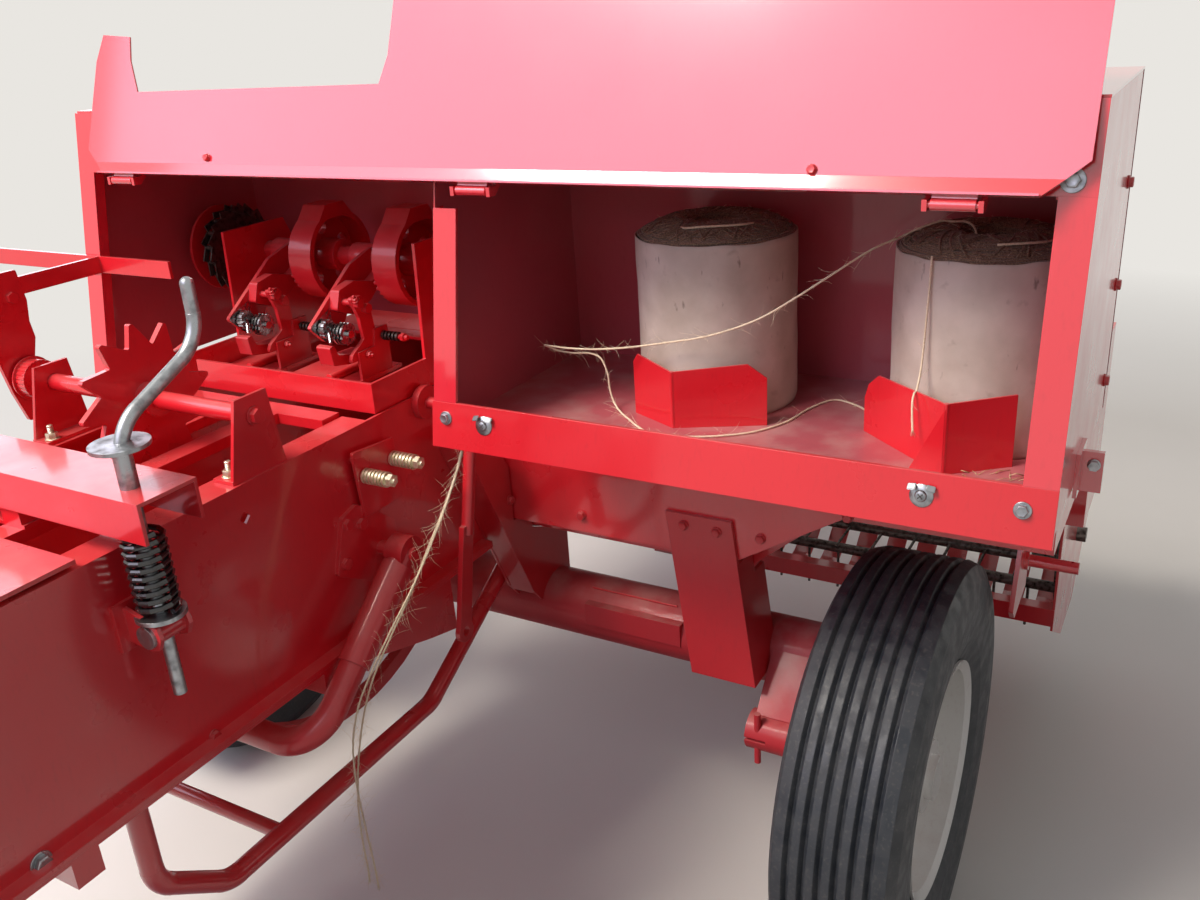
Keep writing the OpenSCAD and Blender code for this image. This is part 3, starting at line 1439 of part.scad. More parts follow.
// Drive shaft from the flywheel to the tractor, parked along the drawbar
shaft_p = [mid_x, pivot_y + 2, drive_z];
shaft_q = [mid_x, hitch_y + 20, 740];
shaft_len = norm(shaft_q - shaft_p);
function shaft_z(y) =
    shaft_p[2] + (y - shaft_p[1]) * (shaft_q[2] - shaft_p[2]) / (shaft_q[1] - shaft_p[1]);
shaft_tilt = atan2(shaft_p[2] - shaft_q[2], shaft_q[1] - shaft_p[1]);
module drive_shaft() {
    color("#6E7072") translate(shaft_p) rotate([-90 - shaft_tilt, 0, 0]) difference() {
        union() {
            translate([0, 0, 36]) cylinder(d = 44, h = shaft_len - 110, $fn = 40);
            translate([0, 0, 14]) cylinder(d = 64, h = 24, $fn = 40);
            translate([0, 0, shaft_len - 76]) cylinder(d = 58, h = 76, $fn = 40);
        }
        translate([0, 0, shaft_len - 66]) cylinder(d = pto_bore, h = 80, $fn = 40);
    }
}

module shaft_guard() {
    color("#1C1C1E") translate(shaft_p) rotate([-90 - shaft_tilt, 0, 0]) difference() {
        union() {
            translate([0, 0, 120]) cylinder(d = 76, h = shaft_len - 260, $fn = 48);
            translate([0, 0, 90]) cylinder(d1 = 150, d2 = 80, h = 60, $fn = 48);
        }
        translate([0, 0, 170]) cylinder(d = 64, h = shaft_len - 360, $fn = 48);
        translate([0, 0, 80]) cylinder(d = 44 + 2 * pin_gap, h = shaft_len, $fn = 48);
        translate([0, 0, 89]) cylinder(d1 = 142, d2 = 70, h = 56, $fn = 48);
    }
}

jack_x = mid_x + 105;
jack_y = hitch_y - 330;
jack_top = 760;
// The foot stops a little under the tube when it is wound up
foot_t = 8;
jack_travel = 300;
jack_low = foot_t + jack_travel + 12;
module jack_tube() {
    color("#C4161C") {
        difference() {
            translate([jack_x, jack_y, jack_low])
                cylinder(d = jack_d, h = jack_top - jack_low, $fn = 48);
            translate([jack_x, jack_y, jack_low - 1])
                cylinder(d = jack_d - 10, h = jack_top - jack_low - 10, $fn = 48);
        }
        bx(mid_x + bar_w / 2, jack_x - jack_d / 2 + 4, jack_y - 40, jack_y + 40,
           bar_z - 40, bar_z + 40);
        rod([jack_x, jack_y, jack_top - 20], [jack_x + 90, jack_y, jack_top - 20], 16);
        rod([jack_x + 90, jack_y - 0.01, jack_top - 20], [jack_x + 90, jack_y + 110, jack_top - 20], 14);
    }
}

module jack_leg() {
    color("#8F9296") {
        translate([jack_x, jack_y, foot_t])
            cylinder(d = jack_d - 10 - 2 * pin_gap, h = 360, $fn = 48);
        translate([jack_x, jack_y, 0]) cylinder(d = 160, h = foot_t, $fn = 64);
    }
}

module placed() { translate([-origin_x, -origin_y, 0]) children(); }

placed() tyre_right();
placed() rim_right();
placed() tyre_left();
placed() rim_left();
placed() axle();
placed() axle_legs();
placed() chamber_side_right();
placed() chamber_side_left();
placed() chamber_floor();
placed() chamber_top_rails();
placed() tension_beams();
placed() tension_screw_right();
placed() tension_screw_left();
placed() tension_springs();
placed() star_wheel();
placed() star_brackets();
placed() metering_arm();
placed() plunger_case();
placed() plunger();
placed() feed_chamber();
placed() feeder_fork();
placed() knotter_frame();
placed() knotter_right();
placed() knotter_left();
placed() knotter_shaft();
placed() needle_rod();
placed() needle_yoke();
placed() needle_guard();
placed() twine_box();
placed() hood_posts();
placed() hood_roof();
placed() lid();
placed() twine_ball_right();
placed() twine_ball_left();
placed() ball_stops();
placed() twine_to_guide();
placed() twine_strand_near();
placed() twine_strand_far();
placed() twine_loose_end();
placed() pickup_frame();
placed() stripper_bands();
placed() pickup_reel();
placed() wind_guard();
placed() nose_frame();
placed() gearbox();
placed() flywheel();
placed() knotter_chain_case();
placed() drawbar();
placed() hitch_clevis();
placed() drive_shaft();
placed() shaft_guard();
placed() jack_tube();
placed() jack_leg();
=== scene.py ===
"""Dresses the square baler: enamel, steel, rubber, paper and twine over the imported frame."""

import math
import random

import bmesh
import bpy
from mathutils import Matrix, Vector, noise
from mathutils.bvhtree import BVHTree


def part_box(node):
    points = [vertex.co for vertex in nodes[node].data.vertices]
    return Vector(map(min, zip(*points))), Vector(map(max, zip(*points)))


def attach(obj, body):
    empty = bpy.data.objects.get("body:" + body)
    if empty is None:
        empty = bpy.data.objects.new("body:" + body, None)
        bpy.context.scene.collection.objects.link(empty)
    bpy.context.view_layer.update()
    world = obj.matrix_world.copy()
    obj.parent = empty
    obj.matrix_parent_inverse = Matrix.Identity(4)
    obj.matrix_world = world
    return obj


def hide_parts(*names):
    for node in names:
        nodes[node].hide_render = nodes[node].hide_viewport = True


MM = 0.001

# The camera, measured in metres from the middle of the right wheel, with its turns in
# degrees and its lens in millimetres
CAMERA_FROM_HUB = Vector((0.369, -1.524, 1.233))
CAMERA_YAW = 30.87
CAMERA_PITCH = 22.31
CAMERA_ROLL = -3.78
CAMERA_LENS = 32.53
SENSOR_WIDTH = 36.0

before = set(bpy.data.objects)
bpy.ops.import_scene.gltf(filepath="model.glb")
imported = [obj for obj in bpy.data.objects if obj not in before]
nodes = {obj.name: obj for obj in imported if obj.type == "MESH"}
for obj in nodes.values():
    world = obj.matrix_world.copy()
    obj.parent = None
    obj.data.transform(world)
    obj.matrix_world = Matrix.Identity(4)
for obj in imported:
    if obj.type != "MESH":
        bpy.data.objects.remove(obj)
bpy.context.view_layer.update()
wheel_low, wheel_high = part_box("tyre_right")
HUB = (Vector(wheel_low) + Vector(wheel_high)) / 2
GROUND = Vector((HUB.x, HUB.y, 0))


def at(x, y, z):
    """A point given in millimetres from the ground under the right wheel."""
    return GROUND + Vector((x, y, z)) * MM


def place_camera():
    """The photograph's viewpoint, behind the right wheel. It looks down, forwards and to
    the left."""
    data = bpy.data.cameras.new("camera")
    data.sensor_width = SENSOR_WIDTH
    data.lens = CAMERA_LENS
    camera = bpy.data.objects.new("camera", data)
    turn = (Matrix.Rotation(math.radians(CAMERA_YAW), 4, "Z")
            @ Matrix.Rotation(math.radians(90 - CAMERA_PITCH), 4, "X")
            @ Matrix.Rotation(math.radians(CAMERA_ROLL), 4, "Z"))
    camera.matrix_world = Matrix.Translation(HUB + CAMERA_FROM_HUB) @ turn
    bpy.context.collection.objects.link(camera)
    bpy.context.scene.camera = camera


place_camera()


# Materials

def linear(hex_colour):
    """An sRGB hex colour as linear RGBA."""
    parts = [int(hex_colour[i:i + 2], 16) / 255 for i in (1, 3, 5)]
    return tuple(c / 12.92 if c <= 0.04045 else ((c + 0.055) / 1.055) ** 2.4
                 for c in parts) + (1.0,)


def add(tree, kind, inputs=(), **settings):
    """Adds a node. Its inputs come in order, or in a dictionary by name or number. One that
    is a socket is linked, any other is set."""
    node = tree.nodes.new(kind)
    for key, value in settings.items():
        setattr(node, key, value)
    for key, value in (inputs.items() if isinstance(inputs, dict) else enumerate(inputs)):
        if isinstance(value, bpy.types.NodeSocket):
            tree.links.new(value, node.inputs[key])
        else:
            node.inputs[key].default_value = value
    return node


def start(name, **constants):
    """A new material, its tree, its surface shader with the constants set, and the points
    on the piece in metres, which stay on it when it moves."""
    material = bpy.data.materials.new(name)
    material.use_nodes = True
    tree = material.node_tree
    shader = tree.nodes["Principled BSDF"]
    for key, value in constants.items():
        shader.inputs[key.replace("_", " ")].default_value = value
    return material, tree, shader, add(tree, "ShaderNodeTexCoord").outputs["Object"]


def grain(tree, where, size_mm, detail=3.0, stretch=(1, 1, 1)):
    """Noise whose cells are about size_mm across, longer along a small stretch."""
    scaled = add(tree, "ShaderNodeMapping", {"Vector": where, "Scale": stretch})
    return add(tree, "ShaderNodeTexNoise", {
        "Vector": scaled.outputs["Vector"], "Scale": 1000 / size_mm, "Detail": detail
    }).outputs["Fac"]


def layer(tree, under, over, pattern, low, high, least=0.0, most=1.0):
    """Lays a colour over another one. Its share grows from least to most while the pattern
    goes from low to high. A colour is a hex value or an earlier layer."""
    share = add(tree, "ShaderNodeMapRange", (pattern, low, high, least, most))
    under, over = (linear(c) if isinstance(c, str) else c for c in (under, over))
    return add(tree, "ShaderNodeMix", {0: share.outputs["Result"], 6: under, 7: over},
               data_type="RGBA").outputs[2]


def roughened(tree, shader, pattern, low, high, least, most):
    """Roughness that goes from least to most while the pattern goes from low to high."""
    rough = add(tree, "ShaderNodeMapRange", (pattern, low, high, least, most))
    tree.links.new(rough.outputs["Result"], shader.inputs["Roughness"])


def bumped(tree, shader, height, depth_mm, strength=1.0, soften_mm=0.0):
    """Raises the surface by the height pattern, over edges rounded by soften_mm."""
    bump = add(tree, "ShaderNodeBump",
               {"Height": height, "Distance": depth_mm * MM, "Strength": strength})
    if soften_mm:
        edge = add(tree, "ShaderNodeBevel", {"Radius": soften_mm * MM}, samples=4)
        tree.links.new(edge.outputs["Normal"], bump.inputs["Normal"])
    tree.links.new(bump.outputs["Normal"], shader.inputs["Normal"])


def upward(tree):
    """1 where the surface faces up, 0 on its sides and underneath."""
    normal = add(tree, "ShaderNodeNewGeometry").outputs["Normal"]
    level = add(tree, "ShaderNodeSeparateXYZ", (normal,)).outputs["Z"]
    return add(tree, "ShaderNodeMapRange", (level, 0.35, 0.95)).outputs["Result"]


def enamel(name, colour, faded, dust=0.22, rough=0.3, edge_mm=1.6, waves=14.0, coat=0.85,
           coat_ior=1.5):
    # Alkyd enamel sprayed on pressed sheet: a deep gloss colour under a clear skin with
    # orange peel, slightly faded in patches, with field dust lying on what faces up
    material, tree, shader, where = start(
        name, Coat_Weight=coat, Coat_Roughness=0.09, Coat_IOR=coat_ior, IOR=1.5)
    body = layer(tree, colour, faded, grain(tree, where, 420, 4), 0.35, 0.7)
    # Fine streaks of handling marks, 6 mm apart
    marks = grain(tree, where, 6, 5, (1, 1, 0.25))
    body = layer(tree, body, "#8E1A20", marks, 0.55, 0.85, 0, 0.16)
    lying = add(tree, "ShaderNodeMapRange", (grain(tree, where, 55, 6), 0.42, 0.68, 0.1, dust))
    film = add(tree, "ShaderNodeMath", (upward(tree), lying.outputs["Result"]),
               operation="MULTIPLY").outputs["Value"]
    body = layer(tree, body, "#C0A39A", film, 0, 1)
    tree.links.new(body, shader.inputs["Base Color"])
    dull = grain(tree, where, 90, 5)
    roughened(tree, shader, dull, 0.35, 0.7, rough - 0.03, rough + waves / 100)
    # Orange peel is about 1.5 mm in life and drawn at 4 mm, over slow waves of the sheet
    peel = grain(tree, where, 4, 1)
    slow = grain(tree, where, 170, 1)
    height = add(tree, "ShaderNodeMath", (slow, waves, peel), operation="MULTIPLY_ADD")
    bumped(tree, shader, height.outputs["Value"], 0.035, 0.9, edge_mm)
    return material


def bare_steel(name, colour, dark, roughness, spot_mm, edge_mm=0.6):
    # Steel with a metal finish: cast, turned or plated, with grease and grime in spots
    material, tree, shader, where = start(name, Metallic=1.0)
    spots = grain(tree, where, spot_mm, 5)
    tree.links.new(layer(tree, colour, dark, spots, 0.45, 0.72), shader.inputs["Base Color"])
    roughened(tree, shader, spots, 0.3, 0.75, roughness - 0.08, roughness + 0.2)
    bumped(tree, shader, grain(tree, where, spot_mm * 0.4, 4), 0.08, 0.5, edge_mm)
    return material


def rolled_thread():
    # Cold-rolled thread, zinc plated: bright crests over dark, greasy roots
    material, tree, shader, where = start("rolled_zinc_plated_thread", Metallic=1.0)
    # The pitch is 2 mm in life and drawn at 4 mm
    pitch = 4 * MM
    crest = add(tree, "ShaderNodeTexWave",
                {"Vector": where, "Scale": math.tau / 20 / pitch, "Distortion": 0.0},
                bands_direction="Z").outputs["Fac"]
    tree.links.new(layer(tree, "#3E4146", "#A4A9B1", crest, 0, 1), shader.inputs["Base Color"])
    roughened(tree, shader, crest, 0, 1, 0.5, 0.28)
    bumped(tree, shader, crest, 1.2, 0.8)
    return material


def vulcanised_rubber():
    # Tyre rubber from a mould: blue-black, dull, greyed by dust in patches
    material, tree, shader, where = start("vulcanised_rubber", IOR=1.52)
    dust = grain(tree, where, 30, 6)
    body = layer(tree, "#1F242B", "#474849", dust, 0.38, 0.66, 0.03, 0.42)
    body = layer(tree, body, "#6F6A62", grain(tree, where, 5, 4), 0.55, 0.8, 0, 0.3)
    tree.links.new(body, shader.inputs["Base Color"])
    roughened(tree, shader, dust, 0.38, 0.66, 0.44, 0.78)
    bumped(tree, shader, grain(tree, where, 3, 5), 0.25, 0.6, 2.5)
    return material


def moulded_polyethylene():
    # Blow-moulded shaft guard: black, faintly waxy, scuffed grey
    material, tree, shader, where = start("moulded_polyethylene", IOR=1.51)
    scuffs = grain(tree, where, 14, 6, (1, 0.15, 1))
    body = layer(tree, "#161719", "#5A5B5C", scuffs, 0.55, 0.78, 0, 0.5)
    tree.links.new(body, shader.inputs["Base Color"])
    roughened(tree, shader, scuffs, 0.55, 0.78, 0.42, 0.7)
    bumped(tree, shader, grain(tree, where, 2, 3), 0.06, 0.6, 1.5)
    return material


def dipped_spring_wire():
    # Coil spring wire dipped in black paint: wet-looking gloss with a few bare rubs
    material, tree, shader, where = start("black_dipped_spring_wire", IOR=1.5, Coat_Weight=0.6)
    rubs = grain(tree, where, 9, 4)
    tree.links.new(layer(tree, "#121315", "#5B5552", rubs, 0.62, 0.7),
                   shader.inputs["Base Color"])
    roughened(tree, shader, rubs, 0.62, 0.7, 0.24, 0.5)
    bumped(tree, shader, grain(tree, where, 4, 4), 0.12, 0.6)
    return material


def spun_sisal():
    # Spun sisal: straw-coloured leaf fibre, matt with a slight sheen along the strand
    material, tree, shader, where = start("spun_sisal", IOR=1.5, Roughness=0.82, Sheen_Weight=0.25)
    # Fibres are 0.2 mm in life and drawn at 1 mm
    fibre = grain(tree, where, 1, 3)
    body = layer(tree, "#AF8A62", "#E6D2B0", fibre, 0.28, 0.46)
    body = layer(tree, body, "#F6EBD5", fibre, 0.46, 0.7)
    tree.links.new(body, shader.inputs["Base Color"])
    bumped(tree, shader, fibre, 0.3, 0.8)
    return material


def wound_sisal_painted_shade():
    # The same fibre on the top of a ball, darker and browner than the strand: the darkness is
    # painted shade of the top, drawn at 1.6 mm
    material, tree, shader, where = start("wound_sisal_painted_shade", IOR=1.5, Roughness=0.9, Sheen_Weight=0.2)
    fibre = grain(tree, where, 1.6, 4)
    body = layer(tree, "#46342A", "#7A5F4A", fibre, 0.32, 0.5)
    body = layer(tree, body, "#A78A6C", fibre, 0.5, 0.7)
    tree.links.new(body, shader.inputs["Base Color"])
    bumped(tree, shader, fibre, 0.5, 0.9)
    return material


def kraft_paper():
    # Bleached kraft wrapper: chalky greige with oily stains, dark scuffs, red rubs and
    # soft creases
    material, tree, shader, where = start("bleached_kraft_paper", IOR=1.45, Roughness=0.78)
    body = layer(tree, "#CFC0B3", "#B6A698", grain(tree, where, 70, 5), 0.35, 0.7)
    for colour, size_mm, detail, stretch, low, high, most in (
            ("#8D7A6B", 21, 7, (1, 1, 1), 0.63, 0.76, 0.4),
            ("#5D4E45", 9, 6, (1, 1, 0.3), 0.68, 0.76, 0.6),
            ("#9A6E5C", 60, 8, (0.25, 0.25, 1.6), 0.69, 0.74, 0.35)):
        marks = grain(tree, where, size_mm, detail, stretch)
        body = layer(tree, body, colour, marks, low, high, 0, most)
    tree.links.new(body, shader.inputs["Base Color"])
    bumped(tree, shader, grain(tree, where, 45, 6, (1, 1, 0.4)), 1.2, 0.7)
    return material


def dried_grass():
    # Dried grass stems: pale straw, slightly shiny skin
    material, tree, shader, where = start("dried_grass_stem", IOR=1.5, Roughness=0.6)
    tree.links.new(layer(tree, "#9B7C4C", "#DCC79A", grain(tree, where, 12, 2), 0.3, 0.7),
                   shader.inputs["Base Color"])
    return material


RED = enamel("sprayed_red_enamel", "#E0212D", "#D31C28")
# The flat sheets of the lid and the hood: a clean, level skin that mirrors the sky
LID_RED = enamel("sprayed_red_enamel_sheet", "#E22A3A", "#DF2838", dust=0.1, rough=0.25,
                 edge_mm=1.0, waves=0.5, coat=1.0, coat_ior=1.75)
# Brushed over rough castings and bolts: rounder edges, less gloss
CAST_RED = enamel("brushed_red_enamel_on_castings", "#D0202B", "#BC1923", dust=0.3, rough=0.4,
                  edge_mm=2.2, waves=10.0, coat=0.4)
# Worn by the road: almost no clear skin is left on the axle
AXLE_RED = enamel("brushed_red_enamel_road_dust", "#B81F2A", "#A82630", dust=0.4, rough=0.58,
                  edge_mm=2.2, waves=10.0, coat=0.1)
# Inner faces of the box and the hood: a paler, greyer red that is painted haze of light over their
# shade, with chaff dust lying on what faces up
HAZE_PAINTED_RED = enamel("sprayed_red_enamel_painted_haze_and_dust", "#BC4B57", "#A84B57", dust=0.45, rough=0.42,
                   waves=10.0, coat=0.5)
# Chalky white on the pressed rims, with rounder edges
WHITE = enamel("sprayed_white_enamel", "#F0EEEC", "#E4E1DD", dust=0.3, rough=0.36, edge_mm=2.0)
# Spangled grey plating, dull on bolts and cranks
ZINC = bare_steel("zinc_plated_steel", "#A3A7AB", "#6E7073", 0.34, 16)
# Plating with a pale yellow passivation
YELLOW_ZINC = bare_steel("yellow_passivated_steel", "#E6DFCB", "#B5A780", 0.42, 8, 0.4)
# Bright running faces with dark oil in the hollows
TURNED = bare_steel("ground_and_oiled_steel", "#B9BBBD", "#3A3836", 0.24, 9, 0.5)
# Brown-black with old oil
DARK_STEEL = bare_steel("oiled_chain_steel", "#6A6561", "#2A2523", 0.42, 10, 0.5)
# Rubbed bright by the hay, brown where it doesn't pass
SLIDING = bare_steel("hay_polished_steel", "#8E8C88", "#5A4A3E", 0.36, 60, 1.0)
THREAD = rolled_thread()
RUBBER = vulcanised_rubber()
POLYETHYLENE = moulded_polyethylene()
SPRING_BLACK = dipped_spring_wire()
TWINE = spun_sisal()
WOUND = wound_sisal_painted_shade()
PAPER = kraft_paper()
STRAW = dried_grass()


# Mesh helpers

# Edges steeper than this many degrees stay sharp on bolts and plates
SHARP_ANGLE = 34


def piece(name, mesh, material, body, sharp=False):
    """Turns a bmesh into a smooth piece that rides on a body, with sharp edges if asked."""
    data = bpy.data.meshes.new(name)
    bmesh.ops.recalc_face_normals(mesh, faces=mesh.faces)
    mesh.to_mesh(data)
    mesh.free()
    data.materials.append(material)
    data.shade_smooth()
    made = bpy.data.objects.new(name, data)
    bpy.context.collection.objects.link(made)
    if sharp:
        data.set_sharp_from_angle(angle=math.radians(SHARP_ANGLE))
    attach(made, body)
    return made


def along(points):
    """Each point of a line with two directions across it that don't spin on the way."""
    side = None
    out = []
    for i, p in enumerate(points):
        ahead = (points[min(i + 1, len(points) - 1)] - points[max(i - 1, 0)]).normalized()
        side = ahead.orthogonal() if side is None else side - ahead * side.dot(ahead)
        side.normalize()
        out.append((p, side.copy(), ahead.cross(side)))
    return out


def tube(mesh, points, section, closed=False):
    """A tube along points. section(i, angle) gives its radius there."""
    sides = section.sides
    rings = []
    for i, (p, u, v) in enumerate(along(points)):
        rings.append([
            mesh.verts.new(p + (u * math.cos(a) + v * math.sin(a)) * section(i, a))
            for a in (math.tau * k / sides for k in range(sides))
        ])
    pairs = list(zip(rings, rings[1:] + ([rings[0]] if closed else [])))
    for one, two in pairs:
        for k in range(sides):
            n = (k + 1) % sides
            mesh.faces.new((one[k], one[n], two[n], two[k]))
    if not closed:
        mesh.faces.new(rings[0][::-1])
        mesh.faces.new(rings[-1])


class Round:
    """A plain round section, tapered towards its end where asked."""

    def __init__(self, radius, sides=8, count=1, tip=1.0):
        self.radius, self.sides, self.count, self.tip = radius, sides, max(count - 1, 1), tip

    def __call__(self, i, angle):
        return self.radius * (1 + (self.tip - 1) * i / self.count)


class Laid:
    """A section of twisted plies: lobes that turn as the line goes on."""

    def __init__(self, radius, step, plies=3, lay=0.016, sides=12):
        self.radius, self.plies, self.sides = radius, plies, sides
        self.turn = math.tau * step / lay

    def __call__(self, i, angle):
        lobe = abs(math.cos((angle - i * self.turn / self.plies) * self.plies / 2))
        return self.radius * (0.87 + 0.13 * lobe)


def smooth_line(points, step):
    """A smooth line through the points, cut into steps of equal length."""
    fine = []
    ends = [points[0] * 2 - points[1]] + points + [points[-1] * 2 - points[-2]]
    for a, b, c, d in zip(ends, ends[1:], ends[2:], ends[3:]):
        for k in range(16):
            t = k / 16
            fine.append(0.5 * ((2 * b) + (c - a) * t + (2 * a - 5 * b + 4 * c - d) * t * t
                               + (3 * b - a - 3 * c + d) * t * t * t))
    fine.append(points[-1])
    out, left = [fine[0]], step
    for p, q in zip(fine, fine[1:]):
        gap = (q - p).length
        while gap >= left > 0:
            p = p + (q - p) * (left / gap)
            out.append(p)
            gap -= left
            left = step
        left -= gap
    if (out[-1] - fine[-1]).length > step * 0.3:
        out.append(fine[-1])
    return out


def lathed(mesh, profile, origin, axis, sides=32):
    """Turns a profile of (radius, height) about an axis. It closes itself at radius 0."""
    turn = Vector(axis).normalized().to_track_quat("Z", "Y")
    rings = []
    for radius, height in profile:
        if radius < 1e-6:
            rings.append([mesh.verts.new(origin + turn @ Vector((0, 0, height)))])
        else:
            rings.append([
                mesh.verts.new(origin + turn @ Vector(
                    (radius * math.cos(a), radius * math.sin(a), height)))
                for a in (math.tau * k / sides for k in range(sides))
            ])
    for one, two in zip(rings, rings[1:]):
        for k in range(sides):
            n = (k + 1) % sides
            corners = [one[k % len(one)], one[n % len(one)], two[n % len(two)], two[k % len(two)]]
            distinct = list(dict.fromkeys(corners))
            if len(distinct) > 2:
                mesh.faces.new(distinct)


def bolt(mesh, origin, axis, across=19, head=7.5, washer=30, stud=0.0, rise=4.0):
    """A hexagon bolt on its washer with a dished top, or a nut with a stud above it."""
    origin = Vector(origin)
    axis = Vector(axis).normalized()
    # Thickness of the washer
    t = 2.2 * MM
    half = washer / 2 * MM
    lathed(mesh, [(0, 0), (half * 0.98, 0), (half, 0.4 * MM), (half, t - 0.5 * MM),
                  (half - 0.6 * MM, t), (across * 0.5 * MM, t)], origin, axis)
    r = across / math.sqrt(3) * MM
    h = head * MM
    lathed(mesh, [(r, t), (r, t + h - 1.2 * MM), (r * 0.93, t + h - 0.3 * MM), (r * 0.84, t + h),
                  (r * 0.6, t + h - 0.3 * MM), (0, t + h - 0.5 * MM)], origin, axis, 6)
    if stud:
        s = stud / 2 * MM
        end = t + h + rise * MM
        pitch = 1.25
        turns = int((rise - 2) / pitch)
        thread = [(s * (1 if k % 2 else 0.88), t + h + (k * pitch / 2 + 0.3) * MM)
                  for k in range(2 * turns)]
        lathed(mesh, [(s, t + h - 1 * MM)] + thread + [
            (s, end - 1 * MM), (s * 0.8, end), (0, end)], origin, axis, 16)


def weld(mesh, points, size_mm=5.0):
    """A hand-laid weld bead, ripple after ripple, along a line."""
    line = smooth_line([Vector(p) for p in points], 1.2 * MM)

    def ripple(i, angle):
        return size_mm / 2 * MM * (0.86 + 0.14 * abs(math.sin(i * 0.42))
                                   + 0.1 * noise.noise(line[min(i, len(line) - 1)] * 160))

    ripple.sides = 8
    tube(mesh, line, ripple)


def slab(mesh, origin, out, up, size_mm):
    """A thin plate with broken edges. Its thickness is along out, its height along up."""
    out, up = Vector(out).normalized(), Vector(up).normalized()
    wide = up.cross(out)
    w, h, t = (value * MM for value in size_mm)
    made = bmesh.ops.create_cube(mesh, size=1)["verts"]
    for v in made:
        v.co = origin + wide * v.co.x * w + up * v.co.y * h + out * v.co.z * t
    edges = {e for v in made for e in v.link_edges}
    bmesh.ops.bevel(mesh, geom=list(edges), offset=min(t / 2, 0.8 * MM), segments=2,
                    affect="EDGES")


def landing(name, origin, ahead):
    """Where a line from the origin meets a CAD node, and the way that face looks."""
    mesh = nodes[name].data
    solid = BVHTree.FromPolygons([v.co for v in mesh.vertices],
                                 [tuple(face.vertices) for face in mesh.polygons])
    return solid.ray_cast(origin, Vector(ahead))[:2]


def repaint(name, *finishes):
    """Gives a CAD node its finishes. Each after the first takes the faces that its test
    picks by their middle, in millimetres from the ground under the right wheel."""
    mesh = nodes[name].data
    mesh.materials.clear()
    mesh.materials.append(finishes[0])
    for finish, test in finishes[1:]:
        mesh.materials.append(finish)
        index = len(mesh.materials) - 1
        for face in mesh.polygons:
            if test((face.center - GROUND) / MM):
                face.material_index = index


def within(p, axis_y, axis_z, radius, low_x, high_x):
    """Whether p is near an axis along X."""
    return low_x < p.x < high_x and math.hypot(p.y - axis_y, p.z - axis_z) < radius


def on(value, plane):
    """Whether the middle of a face lies on a plane, within 0.6 mm."""
    return abs(value - plane) < 0.6


# Twine. The routes repeat those of the part's source, in millimetres.
TWINE_D = 3.0
# Distance between the points along a strand, fine enough for the twist of its plies
TWINE_STEP = 1.6 * MM
GUIDE_ROUTE = [
    (80, -14, 1190), (80, -14, 1225), (80, -14, 1262), (77, -15, 1288), (70, -16, 1300),
    (60, -19, 1304), (48, -22, 1304), (32, -27, 1305), (10, -37, 1298), (-16, -52, 1286),
    (-48, -78, 1272),
    (-90, -116, 1244), (-135, -138, 1213), (-178, -149, 1186), (-225, -152, 1165),
    (-271, -150, 1149), (-318, -150, 1138), (-365, -151, 1128), (-405, -153, 1121),
    (-450, -153, 1115), (-495, -149, 1111), (-532, -140, 1108), (-558, -124, 1103),
    (-562, -106, 1094), (-546, -97, 1086), (-518, -99, 1086), (-488, -106, 1091),
    (-462, -114, 1088), (-448, -119, 1066), (-443, -122, 1038), (-430, -130, 1018),
    (-395, -160, 1013), (-330, -204, 1012), (-261, -192, 1012), (-198, -152, 1012),
    (-163, -94, 1012), (-150, -30, 1012), (-128, 22, 1012), (-92, 14, 1012), (-62, -14, 1012),
    (-54, -56, 1012)
]
NEAR_ROUTE = [
    (-622, -270, 1005.7), (-623, -276, 985), (-626, -292, 950), (-633, -322, 900),
    (-643, -358, 845), (-654, -402, 788), (-667, -448, 735), (-682, -488, 680),
    (-697, -514, 628), (-706, -530, 575), (-709, -537, 520), (-709, -539, 455),
    (-707, -538, 390), (-704, -537, 330), (-702, -538, 275)
]
FAR_ROUTE = [
    (-628, -264, 1005.7), (-629, -271, 982), (-634, -290, 938), (-642, -324, 884),
    (-649, -366, 832), (-658, -410, 772), (-672, -452, 716), (-688, -484, 660),
    (-700, -504, 605), (-707, -520, 548), (-712, -531, 490), (-716, -538, 430),
    (-714, -543, 370), (-711, -545, 318), (-712, -546, 290)
]
END_ROUTE = [
    (47, -131, 1281), (46, -131, 1242), (45, -133, 1208), (44, -135, 1170),
    (43, -140, 1134), (42, -153, 1108), (41, -162, 1105), (41, -169, 1095), (43, -175, 1078),
    (46, -180, 1058)
]

lines = {}
for name, route, lay in (("twine_to_guide", GUIDE_ROUTE, "loose"),
                         ("twine_strand_near", NEAR_ROUTE, "hanging"),
                         ("twine_strand_far", FAR_ROUTE, "hanging"),
                         ("twine_loose_end", END_ROUTE, "hanging")):
    line = smooth_line([at(*p) for p in route], TWINE_STEP)
    mesh = bmesh.new()
    tube(mesh, line, Laid(TWINE_D / 2 * MM, TWINE_STEP))
    cord = piece("laid_" + name, mesh, TWINE, "frame")
    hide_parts(name)
    lines[name] = line


